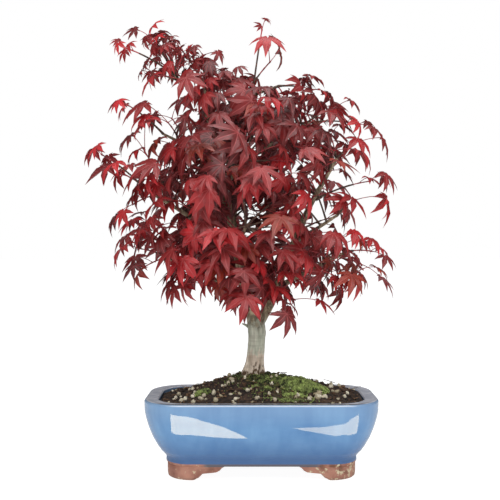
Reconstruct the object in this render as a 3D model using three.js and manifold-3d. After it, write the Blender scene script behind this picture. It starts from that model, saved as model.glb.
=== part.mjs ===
// A deshojo Japanese maple grown as a bonsai, in a blue glazed pot with corner feet.
// Millimetres, +Z up, seen from -Y. Everything is laid out round the middle of the pot, and the
// finished tree is then moved so that its origin is below the middle of its whole outline.
import * as THREE from "three";
import { mergeVertices } from "three/addons/utils/BufferGeometryUtils.js";
import Module from "manifold-3d";

const wasm = await Module();
wasm.setup();

const DEGREE = Math.PI / 180;
const UP = new THREE.Vector3(0, 0, 1);

// ---- driving dimensions

const POT = {
  length: 259,
  depth: 204,
  height: 84.5,
  footHeight: 15, // the clear height under the pot
  footLength: 208, // over the outer faces of the feet
  footWidth: 13,
  lip: 16,
  lipThickness: 6,
  wall: 8,
  floor: 8,
  // half the outer length at each height, from the underside to the rim
  profile: [[15, 104], [17, 105.3], [22, 105.3], [25, 107.6], [29, 111.4], [35, 115.5], [44, 120.4], [56, 125.1],
    [70, 128.7], [84.5, 129.5]],
  corner: 40, // how far the corners at the rim reach along the long sides
  cornerStretch: 1.6, // how much further they reach along the short sides
  cornerSides: 4,
};
const DRAIN = { radius: 8, offset: 52, screen: 26, screenThickness: 1.2, mesh: 4, hole: 3.4 };
const SOIL = { edge: 80.5, peak: 28, peakAt: [-8, 4], reachLeft: 50, reachRight: 70, reachDepth: 45, stretches: 3 };
const STONE = { count: 8, size: 3.8, sides: 5 };
const GAP = 0.3; // between pieces that rest on each other

const TRUNK = {
  sides: 10,
  points: [
    [-7, 1, 70], [-8, 1, 88], [-9, 1, 102], [-9, 0, 111], [-7, 0, 124], [-5.4, 0, 146], [-5.6, 0, 161],
    [-11.8, 0, 186], [-19, 0, 212], [-26, 1, 242], [-33, 2, 277], [-41, 2, 311], [-47, 1, 345],
    [-53, 0, 379], [-62, 1, 405], [-64, 3, 437],
  ],
  radii: [4, 10, 14.6, 11.8, 10.2, 9.4, 10.4, 7.4, 6.5, 5.6, 5, 4.4, 3.8, 3.1, 2.5, 1.5],
  rootLobes: 5,
  rootDepth: 0.2, // how far the root flare swells and shrinks, as a share of its radius
  rootHeight: 120,
};

// Each branch leaves its parent at a fraction of the parent's length and then runs through its points.
const BRANCHES = [
  { name: "right_leader", parent: "trunk", at: 0.4, radii: [6, 2],
    points: [[9, 3, 185], [22, 7, 216], [37, 9, 254], [53, 8, 293], [71, 5, 326], [86, 1, 353]] },
  { name: "low_right", parent: "right_leader", at: 0.28, radii: [3, 1.6],
    points: [[48, -8, 222], [75, -15, 236], [100, -15, 247]] },
  { name: "low_right_front", parent: "right_leader", at: 0.14, radii: [2.4, 1.5], points: [[17, -23, 194], [23, -40, 201]] },
  { name: "low_left", parent: "trunk", at: 0.49, radii: [4, 1.7], points: [[-44, 4, 209], [-77, 2, 226], [-107, -6, 240]] },
  { name: "low_front", parent: "trunk", at: 0.52, radii: [3, 1.6], points: [[-21, -27, 217], [-25, -50, 226]] },
  { name: "low_back", parent: "trunk", at: 0.5, radii: [3.2, 1.6], points: [[-8, 36, 214], [-4, 65, 228]] },
  { name: "mid_left", parent: "trunk", at: 0.61, radii: [3.4, 1.6], points: [[-63, -4, 274], [-98, -8, 297], [-130, -8, 316]] },
  { name: "mid_front", parent: "trunk", at: 0.6, radii: [2.8, 1.5], points: [[-23, -31, 259], [-17, -59, 274]] },
  { name: "mid_back", parent: "trunk", at: 0.65, radii: [3, 1.6], points: [[-31, 38, 288], [-27, 67, 303]] },
  { name: "mid_right", parent: "right_leader", at: 0.52, radii: [2.6, 1.5], points: [[65, -10, 274], [86, -17, 288]] },
  { name: "right_back", parent: "right_leader", at: 0.45, radii: [2.6, 1.5], points: [[42, 42, 265], [50, 67, 278]] },
  { name: "upper_front", parent: "trunk", at: 0.75, radii: [2.4, 1.4], points: [[-31, -31, 332], [-21, -54, 343]] },
  { name: "upper_left", parent: "trunk", at: 0.8, radii: [2.6, 1.4], points: [[-79, -4, 364], [-111, -6, 380]] },
  { name: "upper_right", parent: "trunk", at: 0.78, radii: [3, 1.4], points: [[-13, -4, 353], [25, -8, 376], [56, -8, 393]] },
  { name: "upper_back", parent: "trunk", at: 0.8, radii: [2.4, 1.4], points: [[-42, 31, 366], [-31, 54, 378]] },
  { name: "top_right", parent: "trunk", at: 0.9, radii: [2.2, 1.3], points: [[-36, 2, 412], [-6, 2, 426], [19, 0, 435]] },
  { name: "top_left", parent: "trunk", at: 0.94, radii: [2, 1.3], points: [[-82, 0, 431], [-98, -2, 447]] },
];
const BRANCH_SIDES = 5;

// Each leafy shoot leaves its branch at a fraction of the branch's length and ends at its tip.
// size is the length of a full leaf's middle lobe, and leaves how many it may bear.
const SHOOTS = [
  { name: "apex_left_far", branch: "top_left", at: 1, tip: [-156, -8, 478], size: 16, leaves: 4 },
  { name: "apex_left", branch: "top_left", at: 0.9, tip: [-126, -22, 488], size: 18, leaves: 4 },
  { name: "apex_left_low", branch: "top_left", at: 0.7, tip: [-128, 14, 452], size: 18, leaves: 4 },
  { name: "apex_middle", branch: "trunk", at: 1, tip: [-94, 0, 480], size: 20, leaves: 4 },
  { name: "apex_right", branch: "trunk", at: 0.99, tip: [-66, -16, 468], size: 21, leaves: 4 },
  { name: "apex_back", branch: "trunk", at: 0.98, tip: [-76, 36, 458], size: 22, leaves: 4 },
  { name: "apex_front", branch: "top_left", at: 0.35, tip: [-92, -36, 438], size: 27, leaves: 2 },
  { name: "top_middle", branch: "top_right", at: 0.5, tip: [10, -10, 461], size: 31, leaves: 2 },
  { name: "top_spire", branch: "top_right", at: 0.62, tip: [1, 6, 500], size: 13, leaves: 2 },
  { name: "top_back", branch: "top_right", at: 0.6, tip: [-18, 38, 440], size: 27, leaves: 2 },
  { name: "top_right_far", branch: "top_right", at: 1, tip: [58, -8, 430], size: 23, leaves: 3 },
  { name: "top_right_front", branch: "top_right", at: 0.85, tip: [12, -38, 420], size: 31, leaves: 3 },
  { name: "upper_left_far", branch: "upper_left", at: 1, tip: [-154, -10, 414], size: 22, leaves: 3 },
  { name: "upper_left_near", branch: "upper_left", at: 0.7, tip: [-104, -38, 390], size: 31, leaves: 3 },
  { name: "upper_left_back", branch: "upper_left", at: 0.6, tip: [-104, 34, 402], size: 29, leaves: 2 },
  { name: "upper_right_far", branch: "upper_right", at: 1, tip: [110, -12, 390], size: 22, leaves: 4 },
  { name: "upper_right_top", branch: "upper_right", at: 0.85, tip: [86, 10, 412], size: 23, leaves: 2 },
  { name: "upper_right_front", branch: "upper_right", at: 0.6, tip: [44, -52, 380], size: 33, leaves: 3 },
  { name: "upper_right_back", branch: "upper_right", at: 0.7, tip: [46, 40, 398], size: 29, leaves: 2 },
  { name: "upper_front_left", branch: "upper_front", at: 0.8, tip: [-68, -66, 358], size: 33, leaves: 3 },
  { name: "upper_front_right", branch: "upper_front", at: 1, tip: [-8, -82, 350], size: 34, leaves: 3 },
  { name: "upper_back_far", branch: "upper_back", at: 1, tip: [-18, 86, 394], size: 30, leaves: 3 },
  { name: "upper_back_left", branch: "upper_back", at: 0.7, tip: [-68, 64, 390], size: 30, leaves: 3 },
  { name: "leader_far", branch: "right_leader", at: 1, tip: [108, -12, 370], size: 27, leaves: 3 },
  { name: "leader_front", branch: "right_leader", at: 0.9, tip: [80, -48, 358], size: 34, leaves: 2 },
  { name: "leader_back", branch: "right_leader", at: 0.86, tip: [92, 42, 352], size: 29, leaves: 2 },
  { name: "leader_right", branch: "right_leader", at: 0.72, tip: [122, -12, 326], size: 26, leaves: 3 },
  { name: "mid_left_far", branch: "mid_left", at: 1, tip: [-180, -10, 356], size: 25, leaves: 3 },
  { name: "mid_left_low", branch: "mid_left", at: 0.92, tip: [-156, -26, 334], size: 30, leaves: 4 },
  { name: "mid_left_top", branch: "mid_left", at: 0.7, tip: [-130, -32, 358], size: 31, leaves: 3 },
  { name: "mid_left_back", branch: "mid_left", at: 0.75, tip: [-124, 36, 330], size: 30, leaves: 3 },
  { name: "mid_left_front", branch: "mid_left", at: 0.4, tip: [-90, -58, 302], size: 34, leaves: 3 },
  { name: "mid_front_far", branch: "mid_front", at: 1, tip: [-22, -92, 322], size: 34, leaves: 3 },
  { name: "mid_front_left", branch: "mid_front", at: 0.75, tip: [-58, -82, 262], size: 33, leaves: 3 },
  { name: "mid_front_right", branch: "mid_front", at: 0.8, tip: [24, -86, 272], size: 34, leaves: 3 },
  { name: "mid_right_front", branch: "mid_right", at: 0.7, tip: [52, -70, 326], size: 34, leaves: 3 },
  { name: "mid_right_far", branch: "mid_right", at: 1, tip: [104, -36, 304], size: 31, leaves: 3 },
  { name: "mid_back_far", branch: "mid_back", at: 1, tip: [-22, 98, 326], size: 32, leaves: 3 },
  { name: "mid_back_left", branch: "mid_back", at: 0.7, tip: [-72, 80, 318], size: 31, leaves: 2 },
  { name: "right_back_far", branch: "right_back", at: 1, tip: [58, 92, 302], size: 31, leaves: 3 },
  { name: "right_back_side", branch: "right_back", at: 0.7, tip: [90, 64, 288], size: 31, leaves: 3 },
  { name: "low_left_far", branch: "low_left", at: 1, tip: [-138, -14, 250], size: 31, leaves: 3 },
  { name: "low_left_front", branch: "low_left", at: 0.8, tip: [-112, -44, 258], size: 32, leaves: 3 },
  { name: "low_left_back", branch: "low_left", at: 0.8, tip: [-112, 38, 252], size: 29, leaves: 2 },
  { name: "low_left_near", branch: "low_left", at: 0.5, tip: [-76, -38, 212], size: 30, leaves: 3 },
  { name: "low_front_far", branch: "low_front", at: 1, tip: [-42, -62, 230], size: 32, leaves: 3 },
  { name: "low_right_front_far", branch: "low_right_front", at: 1, tip: [36, -57, 194], size: 27, leaves: 3 },
  { name: "low_right_middle", branch: "low_right", at: 0.6, tip: [66, -50, 244], size: 30, leaves: 3 },
  { name: "low_right_far", branch: "low_right", at: 1, tip: [124, -15, 247], size: 27, leaves: 3 },
  { name: "low_right_low", branch: "low_right", at: 0.9, tip: [112, -40, 227], size: 27, leaves: 3 },
  { name: "low_right_back", branch: "low_right", at: 0.6, tip: [92, 28, 252], size: 29, leaves: 2 },
  { name: "low_back_far", branch: "low_back", at: 1, tip: [10, 88, 250], size: 31, leaves: 3 },
  { name: "low_back_left", branch: "low_back", at: 0.75, tip: [-48, 72, 246], size: 30, leaves: 3 },
];
const SHOOT = { length: 20, rise: 0.1, radius: 1.2, woodRadius: 1.2, bud: 2.5, pairSpacing: 0.6, seed: 9931 };

// A blade has five lobes, measured from the end of its stalk, with the middle lobe 1 long.
const LEAF = {
  thickness: 0.7,
  youngBelow: 17.5, // a smaller leaf has plain pointed lobes
  lobeAngles: [-86, -43, 0, 43, 86],
  lobeLengths: [0.68, 0.93, 1, 0.93, 0.68],
  shoulderAt: 0.52,
  shoulderWidth: 0.17,
  notchAt: 0.3,
  stalkWidth: 1.2,
  rootWidth: 0.7, // the stalk's root is narrower than the shoot that it is sunk into
  tries: 120, // a leaf that finds no clear place in so many tries isn't grown
  clearance: 0.5,
  nearStalk: 0.7, // the cosine of the least angle between a lobe and its own stalk
};
const CROWN_AXIS = [-28, 4];

const COLOURS = {
  glaze: 0x6f97c2,
  soil: 0x3a2d24,
  mesh: 0x2b2b2b,
  bark: 0x9a9684,
  moss: 0x5c8a34,
  leaf: 0x8e2a30,
  youngLeaf: 0xb52634,
};

// ---- solids

function vector([x, y, z]) {
  return new THREE.Vector3(x, y, z);
}

function solidOf(geometry) {
  const bare = geometry.clone();
  bare.deleteAttribute("normal");
  bare.deleteAttribute("uv");
  const merged = mergeVertices(bare, 1e-4);
  const mesh = new wasm.Mesh({
    numProp: 3,
    vertProperties: merged.attributes.position.array,
    triVerts: new Uint32Array(merged.index.array),
  });
  return new wasm.Manifold(mesh);
}

function geometryOf(solid) {
  const { vertProperties, triVerts, numProp } = solid.getMesh();
  const positions = new Float32Array((vertProperties.length / numProp) * 3);
  for (let i = 0; i < positions.length / 3; i++) {
    positions.set(vertProperties.subarray(i * numProp, i * numProp + 3), i * 3);
  }
  const geometry = new THREE.BufferGeometry();
  geometry.setAttribute("position", new THREE.BufferAttribute(positions, 3));
  geometry.setIndex(new THREE.BufferAttribute(triVerts, 1));
  geometry.computeVertexNormals();
  return geometry;
}

// A skin over rings of points, which all turn the same way; a ring of one point closes an end.
function loft(rings) {
  const positions = [];
  const indices = [];
  const starts = rings.map((ring) => {
    const start = positions.length / 3;
    ring.forEach((p) => positions.push(p.x, p.y, p.z));
    return start;
  });
  for (let r = 0; r + 1 < rings.length; r++) {
    const [a, b] = [starts[r], starts[r + 1]];
    const sides = Math.max(rings[r].length, rings[r + 1].length);
    for (let i = 0; i < sides; i++) {
      const j = (i + 1) % sides;
      if (rings[r].length === 1) indices.push(a, b + j, b + i);
      else if (rings[r + 1].length === 1) indices.push(a + i, a + j, b);
      else indices.push(a + i, a + j, b + j, a + i, b + j, b + i);
    }
  }
  const geometry = new THREE.BufferGeometry();
  geometry.setAttribute("position", new THREE.Float32BufferAttribute(positions, 3));
  geometry.setIndex(indices);
  return geometry;
}

// A round bar along a curve. radiusAt(u, angle) gives its radius at a fraction of its length.
function bar(curve, radiusAt, sides, segments) {
  const frames = curve.computeFrenetFrames(segments);
  const rings = [[curve.getPoint(0)]];
  for (let s = 0; s <= segments; s++) {
    const centre = curve.getPoint(s / segments);
    const ring = [];
    for (let i = 0; i < sides; i++) {
      const angle = (i / sides) * 2 * Math.PI;
      const radius = radiusAt(s / segments, angle);
      ring.push(
        centre.clone()
          .addScaledVector(frames.normals[s], radius * Math.cos(angle))
          .addScaledVector(frames.binormals[s], radius * Math.sin(angle)),
      );
    }
    rings.push(ring);
  }
  rings.push([curve.getPoint(1)]);
  return loft(rings);
}

function through(points) {
  return new THREE.CatmullRomCurve3(points.map(vector), false, "catmullrom", 0.5);
}

function part(name, solid, colour, roughness) {
  const material = new THREE.MeshStandardMaterial({ color: colour, roughness, metalness: 0 });
  const mesh = new THREE.Mesh(geometryOf(solid), material);
  mesh.name = name;
  return mesh;
}

// ---- the pot

// Half the pot's outer length at a height, between two points of its profile.
function potHalfLength(z) {
  const next = Math.max(1, POT.profile.findIndex(([height]) => height >= z));
  const [[lower, halfBelow], [upper, halfAbove]] = [POT.profile[next - 1], POT.profile[next]];
  return THREE.MathUtils.lerp(halfBelow, halfAbove, (z - lower) / (upper - lower));
}

// A level ring in the pot's outline, a rectangle with oval corners that reach further along the
// short sides. Its depth is less than its length by a fixed amount, and its corners get tighter as
// it shrinks. Each straight side is split into as many stretches as asked.
function potRing(halfLength, z, stretches = 1) {
  const halfDepth = halfLength - (POT.length - POT.depth) / 2;
  const radius = POT.corner - (POT.length / 2 - halfLength) * 0.5;
  const ring = [];
  [[1, 1], [-1, 1], [-1, -1], [1, -1]].forEach(([signX, signY], quarter) => {
    for (let i = 0; i <= POT.cornerSides; i++) {
      const angle = (quarter + i / POT.cornerSides) * 90 * DEGREE;
      const x = signX * (halfLength - radius) + radius * Math.cos(angle);
      const y = signY * (halfDepth - radius * POT.cornerStretch) + radius * POT.cornerStretch * Math.sin(angle);
      ring.push(new THREE.Vector3(x, y, z));
    }
    const last = ring.at(-1);
    const next = quarter % 2 ? [last.x, -last.y] : [-last.x, last.y];
    for (let i = 1; i < stretches; i++) {
      const t = i / stretches;
      ring.push(new THREE.Vector3(last.x + (next[0] - last.x) * t, last.y + (next[1] - last.y) * t, z));
    }
  });
  return ring;
}

const floorTop = POT.footHeight + POT.floor;
const lipInside = POT.length / 2 - POT.lip;
const lipBottom = POT.height - POT.lipThickness;
const wallHeights = [0.12, 0.34, 0.64].map((t) => floorTop + t * (lipBottom - floorTop));

// The inside of the pot from the floor to the lip's underside, drawn in by a clearance.
function potInside(clearance, stretches) {
  const rings = wallHeights.map((z) => potRing(potHalfLength(z) - POT.wall - clearance, z, stretches));
  const floorHalf = potHalfLength(floorTop) - POT.wall - 5 - clearance;
  const shoulder = potHalfLength(lipBottom) - POT.wall - clearance;
  return [
    potRing(floorHalf, floorTop + clearance, stretches),
    ...rings,
    potRing(shoulder, lipBottom - 2 - clearance, stretches),
    potRing(lipInside - clearance, lipBottom + 2 - clearance, stretches),
  ];
}

function potBody() {
  const rim = POT.length / 2;
  const outside = POT.profile.slice(0, -1).map(([z, half]) => potRing(half, z));
  return loft([
    [new THREE.Vector3(0, 0, POT.footHeight)],
    ...outside,
    potRing(rim, POT.height - 1.6),
    potRing(rim - 1.8, POT.height),
    potRing(lipInside + 1.4, POT.height),
    potRing(lipInside, POT.height - 1.2),
    ...potInside(0, 1).reverse(),
    [new THREE.Vector3(0, 0, floorTop)],
  ]);
}

// The cloud-shaped opening between two feet, as a bar that runs right through under the pot.
function footTunnel(halfSpan, depth) {
  const low = POT.footHeight * 0.46;
  const shape = new THREE.Shape();
  shape.moveTo(-halfSpan, -2);
  [[-halfSpan, 0.5], [-halfSpan + 4, low - 1], [-halfSpan + 9, low], [-halfSpan + 23, low + 1.2],
    [-halfSpan + 29, POT.footHeight - 1], [-halfSpan + 33, POT.footHeight]]
    .forEach(([x, y]) => shape.lineTo(x, y));
  [[halfSpan - 33, POT.footHeight], [halfSpan - 29, POT.footHeight - 1], [halfSpan - 23, low + 1.2],
    [halfSpan - 9, low], [halfSpan - 4, low - 1], [halfSpan, 0.5], [halfSpan, -2]]
    .forEach(([x, y]) => shape.lineTo(x, y));
  const geometry = new THREE.ExtrudeGeometry(shape, { depth, bevelEnabled: false });
  geometry.translate(0, 0, -depth / 2);
  geometry.rotateX(Math.PI / 2);
  return geometry;
}

function potFeet() {
  const outer = POT.footLength / 2;
  const sunk = POT.footHeight + 1; // the feet reach into the pot's floor
  const block = solidOf(loft([
    [new THREE.Vector3(0, 0, 0)],
    potRing(outer - 2, 0),
    potRing(outer, 3),
    potRing(outer, sunk),
    [new THREE.Vector3(0, 0, sunk)],
  ]));
  const core = solidOf(loft([
    [new THREE.Vector3(0, 0, -1)],
    potRing(outer - POT.footWidth, -1),
    potRing(outer - POT.footWidth, POT.footHeight),
    [new THREE.Vector3(0, 0, POT.footHeight)],
  ]));
  const front = footTunnel(73, POT.depth * 1.5);
  const side = footTunnel(46, POT.length * 1.5);
  side.rotateZ(Math.PI / 2);
  return block.subtract(core).subtract(solidOf(front)).subtract(solidOf(side));
}

function drainHole(x, radius) {
  const hole = new THREE.CylinderGeometry(radius, radius, 3 * POT.floor, 14);
  hole.rotateX(Math.PI / 2);
  hole.translate(x, 0, POT.footHeight + POT.floor / 2);
  return solidOf(hole);
}

function makePot() {
  return solidOf(potBody())
    .add(potFeet())
    .subtract(drainHole(-DRAIN.offset, DRAIN.radius))
    .subtract(drainHole(DRAIN.offset, DRAIN.radius));
}

// A plastic screen lies over each drain hole and keeps the soil in.
function makeScreen(x) {
  const plate = new THREE.BoxGeometry(DRAIN.screen, DRAIN.screen, DRAIN.screenThickness);
  const bottom = floorTop + GAP;
  plate.translate(x, 0, bottom + DRAIN.screenThickness / 2);
  let screen = solidOf(plate);
  const pitch = DRAIN.screen / (DRAIN.mesh + 1);
  for (let i = 0; i < DRAIN.mesh / 2; i++) {
    for (let j = 0; j < DRAIN.mesh / 2; j++) {
      const hole = new THREE.BoxGeometry(DRAIN.hole, DRAIN.hole, 4 * DRAIN.screenThickness);
      hole.translate(x + (i - 0.5) * pitch, (j - 0.5) * pitch, bottom);
      screen = screen.subtract(solidOf(hole));
    }
  }
  return screen;
}

// ---- soil, stones and moss

// The soil is heaped round the trunk and lies just under the lip at the edge.
function soilHeight(x, y) {
  const dx = x - SOIL.peakAt[0];
  const reach = dx < 0 ? SOIL.reachLeft : SOIL.reachRight;
  const dy = (y - SOIL.peakAt[1]) / SOIL.reachDepth;
  const heap = SOIL.peak * Math.exp(-0.5 * ((dx / reach) ** 2 + dy ** 2));
  const lumps = 0.8 * Math.sin(x * 0.13 + 1) * Math.cos(y * 0.17) + 0.5 * Math.sin(x * 0.31 + y * 0.23);
  return SOIL.edge + heap + lumps;
}

function makeSoil(trunkHole) {
  const inside = potInside(GAP, SOIL.stretches);
  const edge = inside[inside.length - 1];
  const surface = [1, 0.88, 0.72, 0.55, 0.38, 0.2].map((share) =>
    edge.map((p) => new THREE.Vector3(p.x * share, p.y * share, soilHeight(p.x * share, p.y * share))),
  );
  const screenTop = floorTop + GAP + DRAIN.screenThickness;
  const body = solidOf(loft([
    [new THREE.Vector3(0, 0, inside[0][0].z)],
    ...inside,
    ...surface,
    [new THREE.Vector3(0, 0, soilHeight(0, 0))],
  ]));
  const pockets = [-1, 1].map((side) => {
    const width = DRAIN.screen + 2 * GAP;
    const pocket = new THREE.BoxGeometry(width, width, 2 * (screenTop + GAP - floorTop));
    pocket.translate(side * DRAIN.offset, 0, floorTop);
    return solidOf(pocket);
  });
  let soil = body.subtract(pockets[0]).subtract(pockets[1]).subtract(trunkHole);
  for (let i = 0; i < STONE.count; i++) soil = soil.add(makeStone(i));
  return soil;
}

// Pale stones lie round the foot of the heap, by the golden angle, sunk well into the soil.
function makeStone(i) {
  const angle = i * 137.5 * DEGREE;
  const share = 0.72 + 0.16 * Math.sin(i * 2.3);
  const x = 100 * share * Math.cos(angle);
  const y = 72 * share * Math.sin(angle);
  const radius = STONE.size * (1 + 0.3 * Math.sin(i * 4.1));
  const stone = new THREE.SphereGeometry(radius, STONE.sides, 3);
  stone.scale(1.25, 1, 0.85);
  stone.rotateZ(angle * 3);
  stone.translate(x, y, soilHeight(x, y) - radius * 0.4);
  return solidOf(stone);
}

// A cushion of moss, thickest in its middle. Its underside is cut to the soil's own surface.
function makeMoss(soil, centre, halfLength, halfWidth, thickness, turn) {
  const sides = 12;
  const point = (share, angle, lift) => {
    const wave = 1 + 0.12 * Math.sin(3 * angle + centre[0]);
    const u = share * halfLength * wave * Math.cos(angle);
    const v = share * halfWidth * wave * Math.sin(angle);
    const x = centre[0] + u * Math.cos(turn) - v * Math.sin(turn);
    const y = centre[1] + u * Math.sin(turn) + v * Math.cos(turn);
    return new THREE.Vector3(x, y, soilHeight(x, y) + lift);
  };
  const ring = (share, lift) =>
    Array.from({ length: sides }, (_, i) => point(share, (i / sides) * 2 * Math.PI, lift));
  const cushion = solidOf(loft([
    [point(0, 0, -6)],
    ring(0.9, -4),
    ring(1, thickness * 0.1),
    ring(0.85, thickness * 0.75),
    ring(0.45, thickness),
    [point(0, 0, thickness)],
  ]));
  return cushion.subtract(soil.translate([0, 0, GAP]));
}

// ---- the wood

const trunkCurve = through(TRUNK.points);

function trunkRadius(u, angle, growth) {
  const place = u * (TRUNK.radii.length - 1);
  const i = Math.min(Math.floor(place), TRUNK.radii.length - 2);
  const radius = THREE.MathUtils.lerp(TRUNK.radii[i], TRUNK.radii[i + 1], place - i);
  const height = trunkCurve.getPoint(u).z;
  const flare = height < TRUNK.rootHeight && height > 84 ? TRUNK.rootDepth : 0.03;
  return radius * (1 + flare * Math.sin(TRUNK.rootLobes * angle)) + growth;
}

function trunkBar(growth) {
  const segments = TRUNK.points.length - 1;
  return bar(trunkCurve, (u, angle) => trunkRadius(u, angle, growth), TRUNK.sides, segments);
}

// Every woody limb by name, with its curve and its radii at the two ends.
const limbs = { trunk: { curve: trunkCurve, radii: [TRUNK.radii[0], TRUNK.radii.at(-1)] } };
for (const branch of BRANCHES) {
  const start = limbs[branch.parent].curve.getPoint(branch.at);
  const curve = through([start.toArray(), ...branch.points]);
  limbs[branch.name] = { curve, radii: branch.radii, segments: branch.points.length };
}

// A shoot's whole line, from its branch to its tip, is one arch. The wood carries it to the
// fraction woodEnd, and the red shoot goes on from there.
function shootLine(shoot) {
  const start = limbs[shoot.branch].curve.getPoint(shoot.at);
  const tip = vector(shoot.tip);
  const reach = start.distanceTo(tip);
  const middle = start.clone().add(tip).multiplyScalar(0.5).addScaledVector(UP, SHOOT.rise * reach);
  const curve = new THREE.QuadraticBezierCurve3(start, middle, tip);
  return { curve, reach, woodEnd: Math.max(0, 1 - SHOOT.length / reach) };
}

function limbRadius(name, at) {
  if (name === "trunk") return trunkRadius(at, 0, 0);
  return THREE.MathUtils.lerp(limbs[name].radii[0], limbs[name].radii[1], at);
}

// A pair of leaves stands at the shoot's tip and each further pair below it.
function pairPlace(woodEnd, pair) {
  return 1 - pair * SHOOT.pairSpacing * (1 - woodEnd);
}

// The stretch of a curve between two fractions of its parameter.
function stretch(curve, from, to) {
  const piece = new THREE.Curve();
  piece.getPoint = (t, target = new THREE.Vector3()) => curve.getPoint(from + (to - from) * t, target);
  return piece;
}

function makeWood() {
  const bars = [solidOf(trunkBar(0))];
  for (const branch of BRANCHES) {
    const { curve, radii, segments } = limbs[branch.name];
    bars.push(solidOf(bar(curve, (u) => THREE.MathUtils.lerp(radii[0], radii[1], u), BRANCH_SIDES, segments)));
  }
  for (const shoot of SHOOTS) {
    const { curve, reach, woodEnd } = shootLine(shoot);
    if (woodEnd === 0) continue;
    const root = Math.min(0.7 * limbRadius(shoot.branch, shoot.at), SHOOT.woodRadius);
    const radiusAt = (u) => THREE.MathUtils.lerp(root, SHOOT.woodRadius, u);
    bars.push(solidOf(bar(stretch(curve, -1 / reach, woodEnd), radiusAt, 3, 1)));
  }
  const stub = new THREE.ConeGeometry(2.4, 12, 5); // a cut side branch low on the trunk
  stub.rotateZ(62 * DEGREE);
  stub.translate(-18, 0, 157);
  bars.push(solidOf(stub));
  return wasm.Manifold.union(bars);
}

// ---- leaves

// A whole number series that is the same wherever it is worked out.
let seed = SHOOT.seed;
function draw() {
  seed = (seed * 16807) % 2147483647;
  return seed / 2147483647;
}

// A point of a blade: r from the stalk's end at an angle from the middle lobe, bent down along
// an arc, with the normal of the upper face there.
function bladePoint(leaf, r, angle) {
  const turn = (leaf.bend * r) / leaf.size;
  const along = (Math.sin(turn) * leaf.size) / leaf.bend;
  const drop = ((1 - Math.cos(turn)) * leaf.size) / leaf.bend;
  const outwards = leaf.ahead.clone().multiplyScalar(Math.cos(angle)).addScaledVector(leaf.left, Math.sin(angle));
  const place = leaf.at.clone().addScaledVector(outwards, along).addScaledVector(leaf.normal, -drop);
  const normal = leaf.normal.clone().multiplyScalar(Math.cos(turn)).addScaledVector(outwards, Math.sin(turn));
  return { place, normal };
}

// One try at a leaf: which way its stalk leaves the shoot, and how its blade hangs.
function tryLeaf(shoot, curve, at, side) {
  const along = curve.getTangent(at);
  const root = curve.getPoint(at).addScaledVector(along, -0.6 + 0.2 * side);
  const across = along.clone().cross(UP).normalize().multiplyScalar(side);
  const draws = Array.from({ length: 9 }, () => draw() * 2 - 1);
  const size = shoot.size * (1 + 0.16 * draws[0]);
  const stalk = across.multiplyScalar(0.9)
    .addScaledVector(along, 0.6 + 0.4 * draws[1])
    .addScaledVector(UP, 0.3 + 0.5 * draws[2])
    .normalize();
  const stalkLength = size * (0.85 + 0.3 * draws[3]);
  const junction = root.clone().addScaledVector(stalk, stalkLength);
  const outwards = new THREE.Vector3(junction.x - CROWN_AXIS[0], junction.y - CROWN_AXIS[1], 0).normalize();
  const ahead = stalk.clone().multiplyScalar(0.5)
    .addScaledVector(outwards, 0.35)
    .addScaledVector(UP, -0.72 + 0.42 * draws[4])
    .add(new THREE.Vector3(draws[5], draws[6], 0).multiplyScalar(0.5))
    .normalize();
  const normal = outwards.clone().multiplyScalar(0.65)
    .addScaledVector(UP, 0.7)
    .add(new THREE.Vector3(draws[6], draws[7], draws[5]).multiplyScalar(0.45));
  normal.addScaledVector(ahead, -normal.dot(ahead)).normalize();
  const left = normal.clone().cross(ahead);
  const bend = 0.85 + 0.35 * draws[8];
  return { root, at: junction, ahead, normal, left, size, bend, shoot: shoot.name, young: shoot.size < LEAF.youngBelow };
}

// The balls that a leaf fills: along its stalk and along each lobe.
function leafBalls(leaf) {
  const balls = [0.4, 0.6, 0.8, 0.95].map((t) => ({ centre: leaf.root.clone().lerp(leaf.at, t), radius: 1.4 }));
  LEAF.lobeAngles.forEach((degrees, i) => {
    const length = leaf.size * LEAF.lobeLengths[i];
    [[0.3, 0.1], [0.52, 0.14], [0.76, 0.08], [1, 0.03]].forEach(([share, width]) => {
      const centre = bladePoint(leaf, share * length, degrees * DEGREE).place;
      balls.push({ centre, radius: width * length + LEAF.clearance });
    });
  });
  return balls;
}

function limbBalls(curve, radius, count) {
  return Array.from({ length: count + 1 }, (_, i) => ({ centre: curve.getPoint(i / count), radius }));
}

// Whether a blade hangs clear of its own stalk, by the angles between the stalk and each lobe.
function hangsFree(leaf) {
  const back = leaf.root.clone().sub(leaf.at).normalize();
  return LEAF.lobeAngles.every((degrees, i) =>
    [0.5, 1].every((share) => {
      const { place } = bladePoint(leaf, share * leaf.size * LEAF.lobeLengths[i], degrees * DEGREE);
      return place.sub(leaf.at).normalize().dot(back) < LEAF.nearStalk;
    }),
  );
}

// Whether balls keep clear of every obstacle that isn't the owner's own shoot.
function isClear(balls, owner, obstacles) {
  return obstacles.every(
    (other) =>
      other.owner === owner ||
      other.balls.every((b) => balls.every((a) => a.centre.distanceTo(b.centre) > a.radius + b.radius)),
  );
}

function growLeaves(wood) {
  const obstacles = [...wood];
  const leaves = [];
  for (const shoot of SHOOTS) {
    const { curve, woodEnd } = shootLine(shoot);
    for (let i = 0; i < shoot.leaves; i++) {
      const at = pairPlace(woodEnd, Math.floor(i / 2));
      for (let attempt = 0; attempt < LEAF.tries; attempt++) {
        const leaf = tryLeaf(shoot, curve, at, i % 2 ? -1 : 1);
        const balls = leafBalls(leaf);
        if (!hangsFree(leaf) || !isClear(balls, shoot.name, obstacles)) continue;
        leaves.push(leaf);
        obstacles.push({ owner: `${shoot.name} ${i}`, balls });
        break;
      }
    }
  }
  return leaves;
}

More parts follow.
